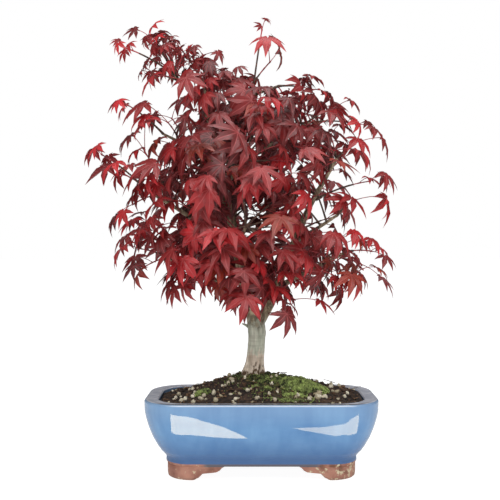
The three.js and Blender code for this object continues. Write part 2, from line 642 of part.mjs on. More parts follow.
// A blade's outline from right to left, as [radius, angle, sharp]; a sharp point has no edge face.
function bladeOutline(leaf) {
  const outline = [];
  LEAF.lobeAngles.forEach((degrees, i) => {
    const length = leaf.size * LEAF.lobeLengths[i];
    const angle = degrees * DEGREE;
    const spread = Math.atan(LEAF.shoulderWidth / LEAF.shoulderAt);
    const shoulder = length * Math.hypot(LEAF.shoulderAt, LEAF.shoulderWidth);
    const broad = !leaf.young && Math.abs(degrees) < 60;
    if (broad) outline.push([shoulder, angle - spread, false]);
    outline.push([length, angle, true]);
    if (broad) outline.push([shoulder, angle + spread, false]);
    if (i + 1 < LEAF.lobeAngles.length) {
      const between = (angle + LEAF.lobeAngles[i + 1] * DEGREE) / 2;
      outline.push([leaf.size * LEAF.notchAt, between, true]);
    }
  });
  return outline;
}

// A leaf as one closed skin: a four-sided stalk, from whose last ring the blade's two faces fan
// out. The upper and the lower face are split alike, so that they can't pass through each other.
function leafGeometry(leaf) {
  const positions = [];
  const indices = [];
  const add = (p) => positions.push(p.x, p.y, p.z) / 3 - 1;
  const ring = (centre, left, normal, width, height) =>
    [[0, 0.5], [-0.5, 0], [0, -0.5], [0.5, 0]].map(([y, n]) =>
      add(centre.clone().addScaledVector(left, y * width).addScaledVector(normal, n * height)),
    );
  const along = leaf.at.clone().sub(leaf.root).normalize();
  const across = leaf.left.clone().addScaledVector(along, -leaf.left.dot(along)).normalize();
  const root = ring(leaf.root, across, along.clone().cross(across), LEAF.rootWidth, LEAF.rootWidth);
  const tip = ring(leaf.at, leaf.left, leaf.normal, LEAF.stalkWidth, LEAF.thickness);
  indices.push(root[0], root[2], root[1], root[0], root[3], root[2]);
  for (let i = 0; i < 4; i++) {
    const j = (i + 1) % 4;
    indices.push(root[i], root[j], tip[j], root[i], tip[j], tip[i]);
  }
  const [top, right, bottom, left] = tip;
  const edge = bladeOutline(leaf).map(([r, angle, sharp]) => {
    const { place, normal } = bladePoint(leaf, r, angle);
    if (sharp) {
      const index = add(place);
      return [index, index];
    }
    return [1, -1].map((n) => add(place.clone().addScaledVector(normal, (n * LEAF.thickness) / 2)));
  });
  const walk = [[right, right], ...edge, [left, left]];
  for (let i = 0; i + 1 < walk.length; i++) {
    const [[topA, bottomA], [topB, bottomB]] = [walk[i], walk[i + 1]];
    indices.push(top, topA, topB, bottom, bottomB, bottomA);
    if (bottomB !== topB) indices.push(bottomA, bottomB, topB);
    if (bottomA !== topA) indices.push(bottomA, topB, topA);
  }
  const geometry = new THREE.BufferGeometry();
  geometry.setAttribute("position", new THREE.Float32BufferAttribute(positions, 3));
  geometry.setIndex(indices);
  return geometry;
}

// The red shoot has a ring at its start and at each pair of leaves, and ends in a bud.
function makeShoot(shoot, leaves) {
  const { curve, reach, woodEnd } = shootLine(shoot);
  const places = [woodEnd + GAP / reach];
  const pairs = Math.ceil(shoot.leaves / 2);
  for (let pair = pairs - 1; pair >= 0; pair--) places.push(pairPlace(woodEnd, pair));
  const rings = places.map((at) => {
    const along = curve.getTangent(at);
    const across = along.clone().cross(UP).normalize();
    const over = along.clone().cross(across);
    return [0, 120, 240].map((degrees) =>
      curve.getPoint(at)
        .addScaledVector(across, SHOOT.radius * Math.cos(degrees * DEGREE))
        .addScaledVector(over, SHOOT.radius * Math.sin(degrees * DEGREE)),
    );
  });
  const bud = curve.getPoint(1).addScaledVector(curve.getTangent(1), SHOOT.bud);
  const twig = loft([[curve.getPoint(places[0])], ...rings, [bud]]);
  const own = leaves.filter((leaf) => leaf.shoot === shoot.name);
  return wasm.Manifold.union([solidOf(twig), ...own.map((leaf) => solidOf(leafGeometry(leaf)))]);
}

// ---- the whole tree

const tree = new THREE.Group();
const hole = solidOf(trunkBar(0.35));
tree.add(part("pot", makePot(), COLOURS.glaze, 0.15));
tree.add(part("drain_screen_left", makeScreen(-DRAIN.offset), COLOURS.mesh, 0.7));
tree.add(part("drain_screen_right", makeScreen(DRAIN.offset), COLOURS.mesh, 0.7));
const soil = makeSoil(hole);
tree.add(part("soil", soil, COLOURS.soil, 0.95));
tree.add(part("moss_right", makeMoss(soil, [47, -27], 26, 20, 4, 0.1), COLOURS.moss, 0.9));
tree.add(part("moss_left", makeMoss(soil, [-65, -39], 8.5, 7, 4.5, 0.4), COLOURS.moss, 0.9));
tree.add(part("trunk_and_branches", makeWood(), COLOURS.bark, 0.85));

const obstacles = Object.entries(limbs).map(([name, limb]) => ({
  owner: name,
  balls: limbBalls(limb.curve, Math.max(...limb.radii) * 0.8, 14),
}));
for (const shoot of SHOOTS) {
  const { curve } = shootLine(shoot);
  obstacles.push({ owner: shoot.name, balls: limbBalls(curve, 1.6, 12) });
}
const leaves = growLeaves(obstacles);
for (const shoot of SHOOTS) {
  const colour = shoot.size < LEAF.youngBelow ? COLOURS.youngLeaf : COLOURS.leaf;
  tree.add(part(`spray_${shoot.name}`, makeShoot(shoot, leaves), colour, 0.6));
}

const outline = new THREE.Box3().setFromObject(tree);
const middle = outline.getCenter(new THREE.Vector3());
tree.position.set(-middle.x, -middle.y, 0);

export default tree;
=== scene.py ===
import math
import bpy
import numpy as np
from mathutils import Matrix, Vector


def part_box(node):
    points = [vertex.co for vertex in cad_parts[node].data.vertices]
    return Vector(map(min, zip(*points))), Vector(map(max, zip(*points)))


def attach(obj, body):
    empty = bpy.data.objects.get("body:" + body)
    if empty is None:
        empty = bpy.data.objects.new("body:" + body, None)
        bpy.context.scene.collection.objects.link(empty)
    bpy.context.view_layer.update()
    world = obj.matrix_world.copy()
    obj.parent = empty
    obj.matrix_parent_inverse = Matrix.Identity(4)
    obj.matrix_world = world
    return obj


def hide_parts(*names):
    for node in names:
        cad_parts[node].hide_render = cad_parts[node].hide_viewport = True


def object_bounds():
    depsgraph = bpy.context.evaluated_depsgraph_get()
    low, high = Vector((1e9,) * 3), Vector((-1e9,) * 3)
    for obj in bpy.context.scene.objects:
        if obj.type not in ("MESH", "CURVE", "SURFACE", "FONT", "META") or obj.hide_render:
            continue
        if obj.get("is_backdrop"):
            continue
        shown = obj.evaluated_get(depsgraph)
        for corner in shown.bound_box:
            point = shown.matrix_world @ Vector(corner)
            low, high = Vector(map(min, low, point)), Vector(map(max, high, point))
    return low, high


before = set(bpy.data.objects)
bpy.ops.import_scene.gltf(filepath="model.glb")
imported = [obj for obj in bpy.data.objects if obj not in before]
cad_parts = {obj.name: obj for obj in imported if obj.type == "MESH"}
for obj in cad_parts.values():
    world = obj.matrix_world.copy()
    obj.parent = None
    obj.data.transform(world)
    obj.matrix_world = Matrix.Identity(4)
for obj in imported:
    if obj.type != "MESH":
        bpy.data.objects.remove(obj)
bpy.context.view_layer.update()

# A red Japanese maple grown as a bonsai, in a blue glazed pot. Everything is laid out in
# millimetres round the middle of the pot, and moved into the frame when its mesh is made.
potBox = np.array([tuple(corner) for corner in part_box("pot")])
potMiddle = potBox.mean(axis=0) * (1, 1, 0)


def inFrame(points):  # millimetres round the pot's middle, as metres in the frame
    return np.asarray(points, float) * 0.001 + potMiddle


# studio
studio = {
    "cameraAway": 1.4, "cameraAside": -0.0127, "cameraHeight": 0.2484, "lens": 88.5,
    "roomLight": 0.42, "inGloss": 0.4, "floorGlow": 0.93,
    "softboxes": [  # name, place and aim in millimetres, width, height, watts
        ("softboxKey", (-700, -1500, 1500), (-20, 0, 250), 1.0, 0.9, 15),
        ("softboxFill", (1100, -1150, 1100), (0, 0, 230), 0.9, 0.9, 8),
        ("softboxTop", (100, 250, 1900), (0, 0, 250), 1.1, 0.8, 12),
    ],
    # glowing cards that only gloss shows: two that stand 9 mm in front of the glaze, with their corners
    # where the highlights' corners mirror, and one overhead for the edges and leaves
    "papers": {
        "paperLeft": [
            (-102.1, -107.7, 73.2), (-81.5, -110.2, 69.6), (-61.6, -108.3, 62.4), (-41.7, -106, 55.4),
            (-28.7, -103.6, 49), (-15.1, -100, 41), (-36.2, -100.1, 41.2), (-55.4, -100.8, 42.9),
            (-76.7, -101.9, 45.3), (-101.5, -98.6, 48.4), (-101.7, -104.1, 60.1),
        ],
        "paperRight": [
            (33.1, -105.6, 54.1), (49.1, -105.7, 54.6), (66.1, -106, 55.3), (88.4, -107.2, 59.1),
            (99.7, -107.1, 65.8), (110.4, -102.2, 73.4), (109.6, -97.4, 58.8), (107.8, -92.5, 47.8),
            (89.6, -101.6, 45.2), (77, -101.3, 44.1), (54.5, -103.6, 49),
        ],
        "paperAbove": [(-600, -900, 1000), (600, -900, 1000), (600, -350, 1150), (-600, -350, 1150)],
    },
    "paperGlow": {"paperLeft": 11.0, "paperRight": 8.5, "paperAbove": 3.2},
    "paperColour": {"paperLeft": (1, 0.84, 0.54, 1), "paperRight": (1, 0.84, 0.54, 1),
                    "paperAbove": (1, 1, 1, 1)},
}

cameraData = bpy.data.cameras.new("camera")
cameraData.lens = studio["lens"]
cameraData.sensor_width = 36
camera = bpy.data.objects.new("camera", cameraData)
camera.location = (potMiddle[0] + studio["cameraAside"], potMiddle[1] - studio["cameraAway"],
                   studio["cameraHeight"])
camera.rotation_euler = (math.radians(90), 0, 0)
bpy.context.scene.collection.objects.link(camera)
bpy.context.scene.camera = camera
bpy.context.scene.view_settings.view_transform = "Standard"


def addLight(name, place, across, up, width, height, watts):
    # an area light whose back is the cross product of its two sides; it shines the other way
    light = bpy.data.lights.new(name, "AREA")
    light.shape = "RECTANGLE"
    light.size, light.size_y = width, height
    light.energy = watts
    lamp = bpy.data.objects.new(name, light)
    across, up = np.array(across, float), np.array(up, float)
    back = np.cross(across, up)
    matrix = np.eye(4)
    matrix[:3, 0], matrix[:3, 1], matrix[:3, 2] = across, up, back
    matrix[:3, 3] = inFrame(place)
    lamp.matrix_world = matrix.T.tolist()
    lamp.visible_camera = False
    bpy.context.scene.collection.objects.link(lamp)


def unit(vectors):  # scaled to length one
    return vectors / np.linalg.norm(vectors, axis=-1, keepdims=True)


for name, place, aim, width, height, watts in studio["softboxes"]:
    back = unit(np.array(place, float) - aim)
    across = unit(np.cross((0, 0, 1), back))
    addLight(name, place, across, np.cross(back, across), width, height, watts)


def addPaper(name, corners, glow, colour):  # a glowing sheet that only mirrors in gloss
    paperLight = bpy.data.materials.new(name)
    paperLight.use_nodes = True
    surface = paperLight.node_tree.nodes["Principled BSDF"]
    surface.inputs["Base Color"].default_value = (0, 0, 0, 1)
    surface.inputs["Emission Color"].default_value = colour
    surface.inputs["Emission Strength"].default_value = glow
    mesh = bpy.data.meshes.new(name)
    mesh.from_pydata(inFrame(corners).tolist(), [], [list(range(len(corners)))[::-1]])
    mesh.materials.append(paperLight)
    paper = bpy.data.objects.new(name, mesh)
    bpy.context.scene.collection.objects.link(paper)
    paper.visible_camera = paper.visible_diffuse = paper.visible_shadow = False
    paper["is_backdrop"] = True


for name, corners in studio["papers"].items():
    addPaper(name, corners, studio["paperGlow"][name], studio["paperColour"][name])

# the pale room: white behind the object, dimmer as light, and dimmer again in gloss
world = bpy.data.worlds.new("paleRoom")
world.use_nodes = True
bpy.context.scene.world = world
roomNodes, roomLinks = world.node_tree.nodes, world.node_tree.links
lightPath = roomNodes.new("ShaderNodeLightPath")
roomStrength = roomNodes.new("ShaderNodeMapRange")
roomStrength.inputs["To Min"].default_value = studio["roomLight"]
roomStrength.inputs["To Max"].default_value = 1.0
roomLinks.new(lightPath.outputs["Is Camera Ray"], roomStrength.inputs["Value"])
glossDark = roomNodes.new("ShaderNodeMapRange")
glossDark.inputs["To Min"].default_value, glossDark.inputs["To Max"].default_value = 1.0, studio["inGloss"]
roomLinks.new(lightPath.outputs["Is Glossy Ray"], glossDark.inputs["Value"])
dimmed = roomNodes.new("ShaderNodeMath")
dimmed.operation = "MULTIPLY"
roomLinks.new(roomStrength.outputs[0], dimmed.inputs[0])
roomLinks.new(glossDark.outputs[0], dimmed.inputs[1])
roomLinks.new(dimmed.outputs[0], roomNodes["Background"].inputs["Strength"])
roomNodes["Background"].inputs["Color"].default_value = (1, 1, 1, 1)


# materials: node helpers and shared groups
def shade(red, green, blue):  # a screen colour, 0 to 255, as linear light
    screen = np.array([red, green, blue]) / 255
    return (*np.where(screen <= 0.04045, screen / 12.92, ((screen + 0.055) / 1.055) ** 2.4), 1.0)


def addNode(tree, kind, inputs=None, **settings):  # each input takes a value or another node's socket
    node = tree.nodes.new(kind)
    for key, value in settings.items():
        setattr(node, key, value)
    for key, value in (inputs or {}).items():
        if isinstance(value, bpy.types.NodeSocket):
            tree.links.new(value, node.inputs[key])
        else:
            node.inputs[key].default_value = value
    return node


def newMaterial(name, roughness, **plain):  # plain values are set on the shader's own sockets
    material = bpy.data.materials.new(name)
    material.use_nodes = True
    surface = material.node_tree.nodes["Principled BSDF"]
    surface.inputs["Roughness"].default_value = roughness
    for key, value in plain.items():
        surface.inputs[key].default_value = value
    return material, material.node_tree, surface


def newGroup(name, inputs, outputs):  # a shared effect with its named sockets
    group = bpy.data.node_groups.new(name, "ShaderNodeTree")
    for label, kind, value in inputs:
        socket = group.interface.new_socket(name=label, in_out="INPUT", socket_type=kind)
        socket.default_value = value
    for label, kind in outputs:
        group.interface.new_socket(name=label, in_out="OUTPUT", socket_type=kind)
    return group, group.nodes.new("NodeGroupInput"), group.nodes.new("NodeGroupOutput")


def mixColour(tree, factor, first, second, blend="MIX"):  # from first to second by the factor
    node = addNode(tree, "ShaderNodeMix", {0: factor, 6: first, 7: second}, data_type="RGBA",
                   blend_type=blend)
    return node.outputs[2]


def ranged(tree, value, low, high, toLow=0.0, toHigh=1.0):  # a soft step from toLow at low to toHigh at high
    inputs = {"Value": value, "From Min": low, "From Max": high, "To Min": toLow, "To Max": toHigh}
    return addNode(tree, "ShaderNodeMapRange", inputs, interpolation_type="SMOOTHSTEP").outputs[0]


def attribute(tree, name):  # a number kept on the mesh's points
    return addNode(tree, "ShaderNodeAttribute", attribute_name=name).outputs["Fac"]


def worked(tree, operation, *values):  # the result of a Math node
    return addNode(tree, "ShaderNodeMath", dict(enumerate(values)), operation=operation).outputs[0]


def objectPlace(tree):  # the object's own coordinates, in metres
    return addNode(tree, "ShaderNodeTexCoord").outputs["Object"]


def objectAxis(tree, axis):  # one of them
    return addNode(tree, "ShaderNodeSeparateXYZ", {0: objectPlace(tree)}).outputs[axis]


def placeInBox(tree, shapes):
    # the object's coordinates from 0 to 1 across the box of the shapes: place / size - lowest / size
    corners = inFrame(np.vstack([shape["points"] for shape in shapes])).astype(np.float32)
    lowest, size = corners.min(axis=0), np.ptp(corners, axis=0)
    inputs = {"Vector": objectPlace(tree), "Location": (-lowest / size).tolist(),
              "Scale": (1 / size).tolist()}
    return addNode(tree, "ShaderNodeMapping", inputs).outputs[0]


# mottle: two colours in soft patches, with the patches' mask; stretch squeezes the pattern along an axis
mottle, given, put = newGroup(
    "mottle",
    [("Dark", "NodeSocketColor", (0, 0, 0, 1)), ("Light", "NodeSocketColor", (1, 1, 1, 1)),
     ("Scale", "NodeSocketFloat", 50.0), ("Stretch", "NodeSocketVector", (1, 1, 1)),
     ("Low", "NodeSocketFloat", 0.35), ("High", "NodeSocketFloat", 0.65)],
    [("Colour", "NodeSocketColor"), ("Mask", "NodeSocketFloat")],
)
squeezed = addNode(mottle, "ShaderNodeVectorMath", {0: objectPlace(mottle), 1: given.outputs["Stretch"]},
                   operation="MULTIPLY")
cloud = addNode(mottle, "ShaderNodeTexNoise",
                {"Vector": squeezed.outputs[0], "Scale": given.outputs["Scale"], "Detail": 5.0})
patches = addNode(mottle, "ShaderNodeMapRange", {
    "Value": cloud.outputs["Fac"], "From Min": given.outputs["Low"], "From Max": given.outputs["High"],
}, interpolation_type="SMOOTHSTEP")
mottle.links.new(mixColour(mottle, patches.outputs[0], given.outputs["Dark"], given.outputs["Light"]),
                 put.inputs["Colour"])
mottle.links.new(patches.outputs[0], put.inputs["Mask"])

# grain: a bumpy skin of the given fineness and depth in metres
grain, given, put = newGroup(
    "grain",
    [("Scale", "NodeSocketFloat", 400.0), ("Stretch", "NodeSocketVector", (1, 1, 1)),
     ("Depth", "NodeSocketFloat", 0.0005), ("Strength", "NodeSocketFloat", 0.5)],
    [("Normal", "NodeSocketVector"), ("Mask", "NodeSocketFloat")],
)
squeezed = addNode(grain, "ShaderNodeVectorMath", {0: objectPlace(grain), 1: given.outputs["Stretch"]},
                   operation="MULTIPLY")
cloud = addNode(grain, "ShaderNodeTexNoise", {"Vector": squeezed.outputs[0], "Scale": given.outputs["Scale"],
                                             "Detail": 6.0, "Roughness": 0.6})
bump = addNode(grain, "ShaderNodeBump", {"Height": cloud.outputs["Fac"], "Distance": given.outputs["Depth"],
                                         "Strength": given.outputs["Strength"]})
grain.links.new(bump.outputs["Normal"], put.inputs["Normal"])
grain.links.new(cloud.outputs["Fac"], put.inputs["Mask"])


def mottled(tree, dark, light, scale, low=0.35, high=0.65, stretch=(1, 1, 1)):
    # the mottle group placed in a material
    inputs = {"Dark": dark, "Light": light, "Scale": scale, "Low": low, "High": high, "Stretch": stretch}
    return addNode(tree, "ShaderNodeGroup", inputs, node_tree=mottle)


def grained(tree, surface, scale, depth, strength=0.5, stretch=(1, 1, 1)):
    # the grain group on a shader's normal
    inputs = {"Scale": scale, "Depth": depth, "Strength": strength, "Stretch": stretch}
    node = addNode(tree, "ShaderNodeGroup", inputs, node_tree=grain)
    tree.links.new(node.outputs["Normal"], surface.inputs["Normal"])


print("studio and shared materials ready")


# meshes: sheets and tubes as whole arrays
def valueNoise(points, cell, seed=0):
    # soft noise from -1 to 1: a random height at each corner of a lattice of cubes, blended by 3t^2 - 2t^3
    place = np.asarray(points, float) / cell + 100
    lower = np.floor(place).astype(np.int64)
    t = place - lower
    t = t * t * (3 - 2 * t)
    total = 0
    for corner in range(8):
        step = np.array([corner & 1, corner >> 1 & 1, corner >> 2])
        at = lower + step
        x, y, z = (at[..., axis] for axis in range(3))
        mixed = (x * 374761393 + y * 668265263 + z * 1274126177 + seed * 982451653) & 0x7FFFFFFF
        mixed = ((mixed ^ (mixed >> 13)) * 1103515245) & 0x7FFFFFFF
        mixed = mixed ^ (mixed >> 16)
        total = total + np.where(step, t, 1 - t).prod(axis=-1) * (mixed / 0x3FFFFFFF - 1)
    return total


def sheet(rows, around=True, first=None, last=None, finish=0, **marks):
    # four-sided faces between neighbouring rows of points; around joins each row's ends, and
    # first and last are single points that close the sheet with a fan
    rows = np.asarray(rows, float)
    count, sides = rows.shape[:2]
    points = rows.reshape(-1, 3)
    along, side = np.arange(count - 1)[:, None], np.arange(sides if around else sides - 1)[None]
    here, beside = along * sides + side, along * sides + (side + 1) % sides
    faces = [(np.stack([here, beside, beside + sides, here + sides], axis=-1).reshape(-1, 4), finish)]
    values = {key: np.broadcast_to(value, (count, sides)).ravel() for key, value in marks.items()}
    ring, following = np.arange(sides), np.roll(np.arange(sides), -1)
    if first is not None:
        middle = np.full(sides, len(points))
        points = np.vstack([points, first])
        faces.append((np.stack([middle, following, ring], axis=-1), finish))
        values = {key: np.append(value, value[0]) for key, value in values.items()}
    if last is not None:
        middle = np.full(sides, len(points))
        points = np.vstack([points, last])
        end = (count - 1) * sides
        faces.append((np.stack([middle, end + ring, end + following], axis=-1), finish))
        values = {key: np.append(value, value[end]) for key, value in values.items()}
    return {"points": points, "faces": faces, "marks": values}


def joined(shapes):  # several shapes as one, with their faces' numbers moved on
    starts = np.cumsum([0] + [len(shape["points"]) for shape in shapes[:-1]])
    names = sorted({key for shape in shapes for key in shape["marks"]})
    return {
        "points": np.vstack([shape["points"] for shape in shapes]),
        "faces": [(face + start, finish)
                  for shape, start in zip(shapes, starts) for face, finish in shape["faces"]],
        "marks": {key: np.concatenate([shape["marks"].get(key, np.zeros(len(shape["points"])))
                                       for shape in shapes])
                  for key in names},
    }


def tube(path, radius, sides, reference=None, finish=0, cap=0.6, **marks):
    # a ring square to the path at each of its points, its first point turned away from the
    # reference; radius is one number for each ring, or one for each of its points
    path = np.asarray(path, float)
    slope = unit(np.gradient(path, axis=0))
    if reference is None:
        reference = np.eye(3)[np.abs(path[-1] - path[0]).argmin()]
    right = unit(np.cross(slope, reference))
    over = np.cross(slope, right)
    angle = np.arange(sides) * 2 * math.pi / sides
    radius = np.asarray(radius, float)
    radius = radius[:, None] if radius.ndim == 1 else radius
    radius = np.broadcast_to(radius, (len(path), sides))[..., None]
    spokes = right[:, None] * np.cos(angle)[:, None] + over[:, None] * np.sin(angle)[:, None]
    rows = path[:, None] + radius * spokes
    first = path[0] - slope[0] * radius[0, 0] * cap
    last = path[-1] + slope[-1] * radius[-1, 0] * cap
    marks = {key: np.asarray(value)[:, None] if np.ndim(value) == 1 else value
             for key, value in marks.items()}
    return sheet(rows, True, first, last, finish, **marks)


def smoothPath(points, t):
    # a cubic between each two points, whose slope at a point is half the step from the point
    # before to the point after; past the ends the points are mirrored
    points = np.asarray(points, float)
    points = np.vstack([2 * points[0] - points[1], points, 2 * points[-1] - points[-2]])
    place = np.asarray(t, float) * (len(points) - 3)
    i = np.clip(np.floor(place).astype(int), 0, len(points) - 4)
    w = (place - i)[..., None]
    before, here, there, after = points[i], points[i + 1], points[i + 2], points[i + 3]
    out, into = (there - before) / 2, (after - here) / 2
    square, cube = 3 * (there - here) - 2 * out - into, 2 * (here - there) + out + into
    return here + out * w + square * w**2 + cube * w**3


def makePiece(name, shapes, materials, nodes=()):
    # the shapes as one mesh, with their marks as attributes, in place of the CAD nodes named
    shape = joined(shapes)
    corners = np.concatenate([face.ravel() for face, finish in shape["faces"]])
    sizes = np.concatenate([np.full(len(face), face.shape[1]) for face, finish in shape["faces"]])
    finishes = np.concatenate([np.full(len(face), finish) for face, finish in shape["faces"]])
    mesh = bpy.data.meshes.new(name)
    mesh.vertices.add(len(shape["points"]))
    mesh.vertices.foreach_set("co", inFrame(shape["points"]).astype(np.float32).ravel())
    mesh.loops.add(len(corners))
    mesh.loops.foreach_set("vertex_index", corners.astype(np.int32))
    mesh.polygons.add(len(sizes))
    mesh.polygons.foreach_set("loop_start", (np.cumsum(sizes) - sizes).astype(np.int32))
    mesh.polygons.foreach_set("material_index", finishes.astype(np.int32))
    mesh.polygons.foreach_set("use_smooth", np.ones(len(sizes), bool))
    mesh.update(calc_edges=True)
    for key, values in shape["marks"].items():
        if key == "crease":  # edges between points of the same crease stay sharp
            ends = np.zeros(2 * len(mesh.edges), np.int32)
            mesh.edges.foreach_get("vertices", ends)
            code = values.astype(int)[ends.reshape(-1, 2)]
            sharp = mesh.attributes.new("sharp_edge", "BOOLEAN", "EDGE")
            sharp.data.foreach_set("value", (code[:, 0] == code[:, 1]) & (code[:, 0] > 0))
        else:
            mark = mesh.attributes.new(key, "FLOAT", "POINT")
            mark.data.foreach_set("value", values.astype(np.float32))
    for material in materials:
        mesh.materials.append(material)
    piece = bpy.data.objects.new(name, mesh)
    bpy.context.scene.collection.objects.link(piece)
    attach(piece, "root")
    if nodes:
        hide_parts(*nodes)
    print(name, len(sizes), "faces")


# floor: a wide pale sheet under the pot
floorPale, tree, surface = newMaterial("floorPale", 0.75)
surface.inputs["Specular IOR Level"].default_value = 0.0
paper = mottled(tree, shade(146, 149, 151), shade(150, 153, 155), 6)
tree.links.new(paper.outputs["Colour"], surface.inputs["Base Color"])
surface.inputs["Emission Color"].default_value = (1, 1, 1, 1)
mirrored = addNode(tree, "ShaderNodeLightPath").outputs["Is Glossy Ray"]
glow = ranged(tree, mirrored, 0, 1, studio["floorGlow"], studio["floorGlow"] * studio["inGloss"])
tree.links.new(glow, surface.inputs["Emission Strength"])
floorMesh = bpy.data.meshes.new("floor")
side = np.linspace(-30, 30, 7)
floorRows = np.stack(np.meshgrid(side, side, [-0.0003]), axis=-1).reshape(7, 7, 3)
floorSheet = sheet(floorRows, around=False)
floorMesh.from_pydata(floorSheet["points"].tolist(), [], floorSheet["faces"][0][0][:, ::-1].tolist())
floorMesh.materials.append(floorPale)
floor = bpy.data.objects.new("floor", floorMesh)
bpy.context.scene.collection.objects.link(floor)
floor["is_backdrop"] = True
print("floor laid")

# pot
pot = {
    "halfLength": 129.5, "height": 84.5, "base": 15, "floor": 23, "lipInside": 113.5, "wall": 8,
    # half the outer length at each height, read from the pot's outline
    "heights": (15, 17, 22, 25, 29, 35, 44, 56, 70, 77, 84.5),
    "halves": (104, 105.3, 105.3, 107.6, 111.4, 115.5, 120.4, 125.1, 128.7, 129.3, 129.5),
    "lessDeep": 27.5, "corner": 40, "cornerStretch": 1.6,
    "drainOffset": 52, "drainRadius": 8, "glazeEnds": 17.7,
    "footReach": 104, "footWidth": 13, "footTop": 16.2,
    "shoulder": 2.6, "brow": 1.8,  # how the lip is rounded outside and inside
    # how high the cut-out between two feet stands above the table, by the distance from the middle
    "frontCutAt": (37, 40, 43, 45.5, 49, 53, 60, 64, 66.5, 69, 71.5, 74),
    "frontCutHeight": (15.4, 14.9, 13.2, 10.3, 8.5, 7.9, 7.3, 6.8, 5.6, 3.0, 0.9, 0),
    "sideCutAt": (12.5, 15, 17.5, 20, 23, 28, 34, 38, 40, 42, 44, 46.5),
    "sideCutHeight": (15.4, 14.9, 13.2, 10.3, 8.5, 7.9, 7.3, 6.8, 5.6, 3.0, 0.9, 0),
}


def smoothTable(at, heights, values):  # a smooth line through a table of values
    order = np.interp(at, heights, np.linspace(0, 1, len(heights)))
    return smoothPath(np.stack([heights, values, np.zeros(len(values))], axis=-1), order)[..., 1]


def cornersOf(half):
    # half the depth is half the length less a fixed amount, and the oval corners, stretched along
    # the short sides, shrink by half as much as the length does
    radius = pot["corner"] - (pot["halfLength"] - half) / 2
    return half - pot["lessDeep"], radius, pot["cornerStretch"] * radius


def outline(half, z, cornerSteps=14, sideSteps=24):
    # level rectangles with oval corners: a quarter of an ellipse at each corner, then a straight side
    half, z = np.broadcast_arrays(np.atleast_1d(half).astype(float), np.asarray(z, float))
    depth, radius, reach = cornersOf(half)
    angle = (np.arange(4)[:, None] + np.linspace(0, 1, cornerSteps + 1)) * math.pi / 2
    signX, signY = np.array([1, -1, -1, 1])[:, None], np.array([1, 1, -1, -1])[:, None]
    half, depth, radius, reach = (values[:, None, None] for values in (half, depth, radius, reach))
    corners = np.stack([signX * (half - radius) + radius * np.cos(angle),
                        signY * (depth - reach) + reach * np.sin(angle)], -1)
    share = (np.arange(1, sideSteps) / sideSteps)[:, None]
    begin, end = corners[:, :, -1:], np.roll(corners, -1, axis=1)[:, :, :1]
    ring = np.concatenate([corners, begin + (end - begin) * share], axis=2).reshape(len(half), -1, 2)
    return np.dstack([ring, np.broadcast_to(z[:, None], ring.shape[:2])])


def potWall():
    # the outline carried up the outside, over the rounded lip and down the inside
    quarter = np.linspace(0, math.pi / 2, 7)
    rim, top, inner = pot["halfLength"], pot["height"], pot["lipInside"]
    soft, brow = pot["shoulder"], pot["brow"]
    rise = np.concatenate([[15, 15.6, 16.3], np.linspace(17, 30, 14), np.linspace(31.5, 81.6, 34)])
    outside = smoothTable(rise, pot["heights"], pot["halves"])
    shoulder = np.stack([rim - soft + soft * np.cos(quarter), top - soft + soft * np.sin(quarter)], -1)
    flat = np.stack([np.linspace(rim - 4.5, inner + 3.5, 6),
                     top - 0.35 * np.sin(np.linspace(0.2, 2.9, 6))], -1)
    inward = np.stack([inner + brow - brow * np.sin(quarter), top - brow + brow * np.cos(quarter)], -1)
    depths = np.linspace(76.5, 24, 18)
    inside = smoothTable(depths, pot["heights"], pot["halves"]) - pot["wall"]
    inside[-3:] -= (1.2, 2.8, 5)
    profile = np.vstack([np.stack([outside, rise], -1), shoulder, flat, inward, [[inner, 80.4]],
                         [[inner + 0.6, 78.6]],
                         np.stack([inside, depths], -1), [[inside[-1] - 2, pot["floor"]]]])
    rows = outline(profile[:, 0], profile[:, 1])
    wobble = 0.2 * valueNoise(rows, 60, 3)[..., None]
    rows = rows + wobble * unit(rows * (1, 1, 0) + 1e-9)
    # how far the glaze reaches past each ring, and how thin it runs over the sharp edges
    glaze = np.where(np.arange(len(profile)) > len(rise) + 20, profile[:, 1] - 60,
                     profile[:, 1] - pot["glazeEnds"])
    edge = np.zeros(len(profile))
    start = len(rise)
    edge[start:start + 7] = (0, 0, 0, 0.2, 0.5, 0.6, 0.45)
    edge[start + 12:start + 18] = (0.3, 0.55, 0.8, 0.9, 0.7, 0.3)
    lip = np.zeros(len(profile))
    lip[start + 5:start + 18] = 1
    # where a painted highlight runs along the lip's rounded outer edge
    arris = np.zeros(len(profile))
    arris[start:start + 5] = (0, 0.2, 0.9, 0.5, 0)
    marks = {"glaze": glaze, "edge": edge, "lip": lip, "arris": arris}
    return sheet(rows, **{key: values[:, None] for key, values in marks.items()}), rows


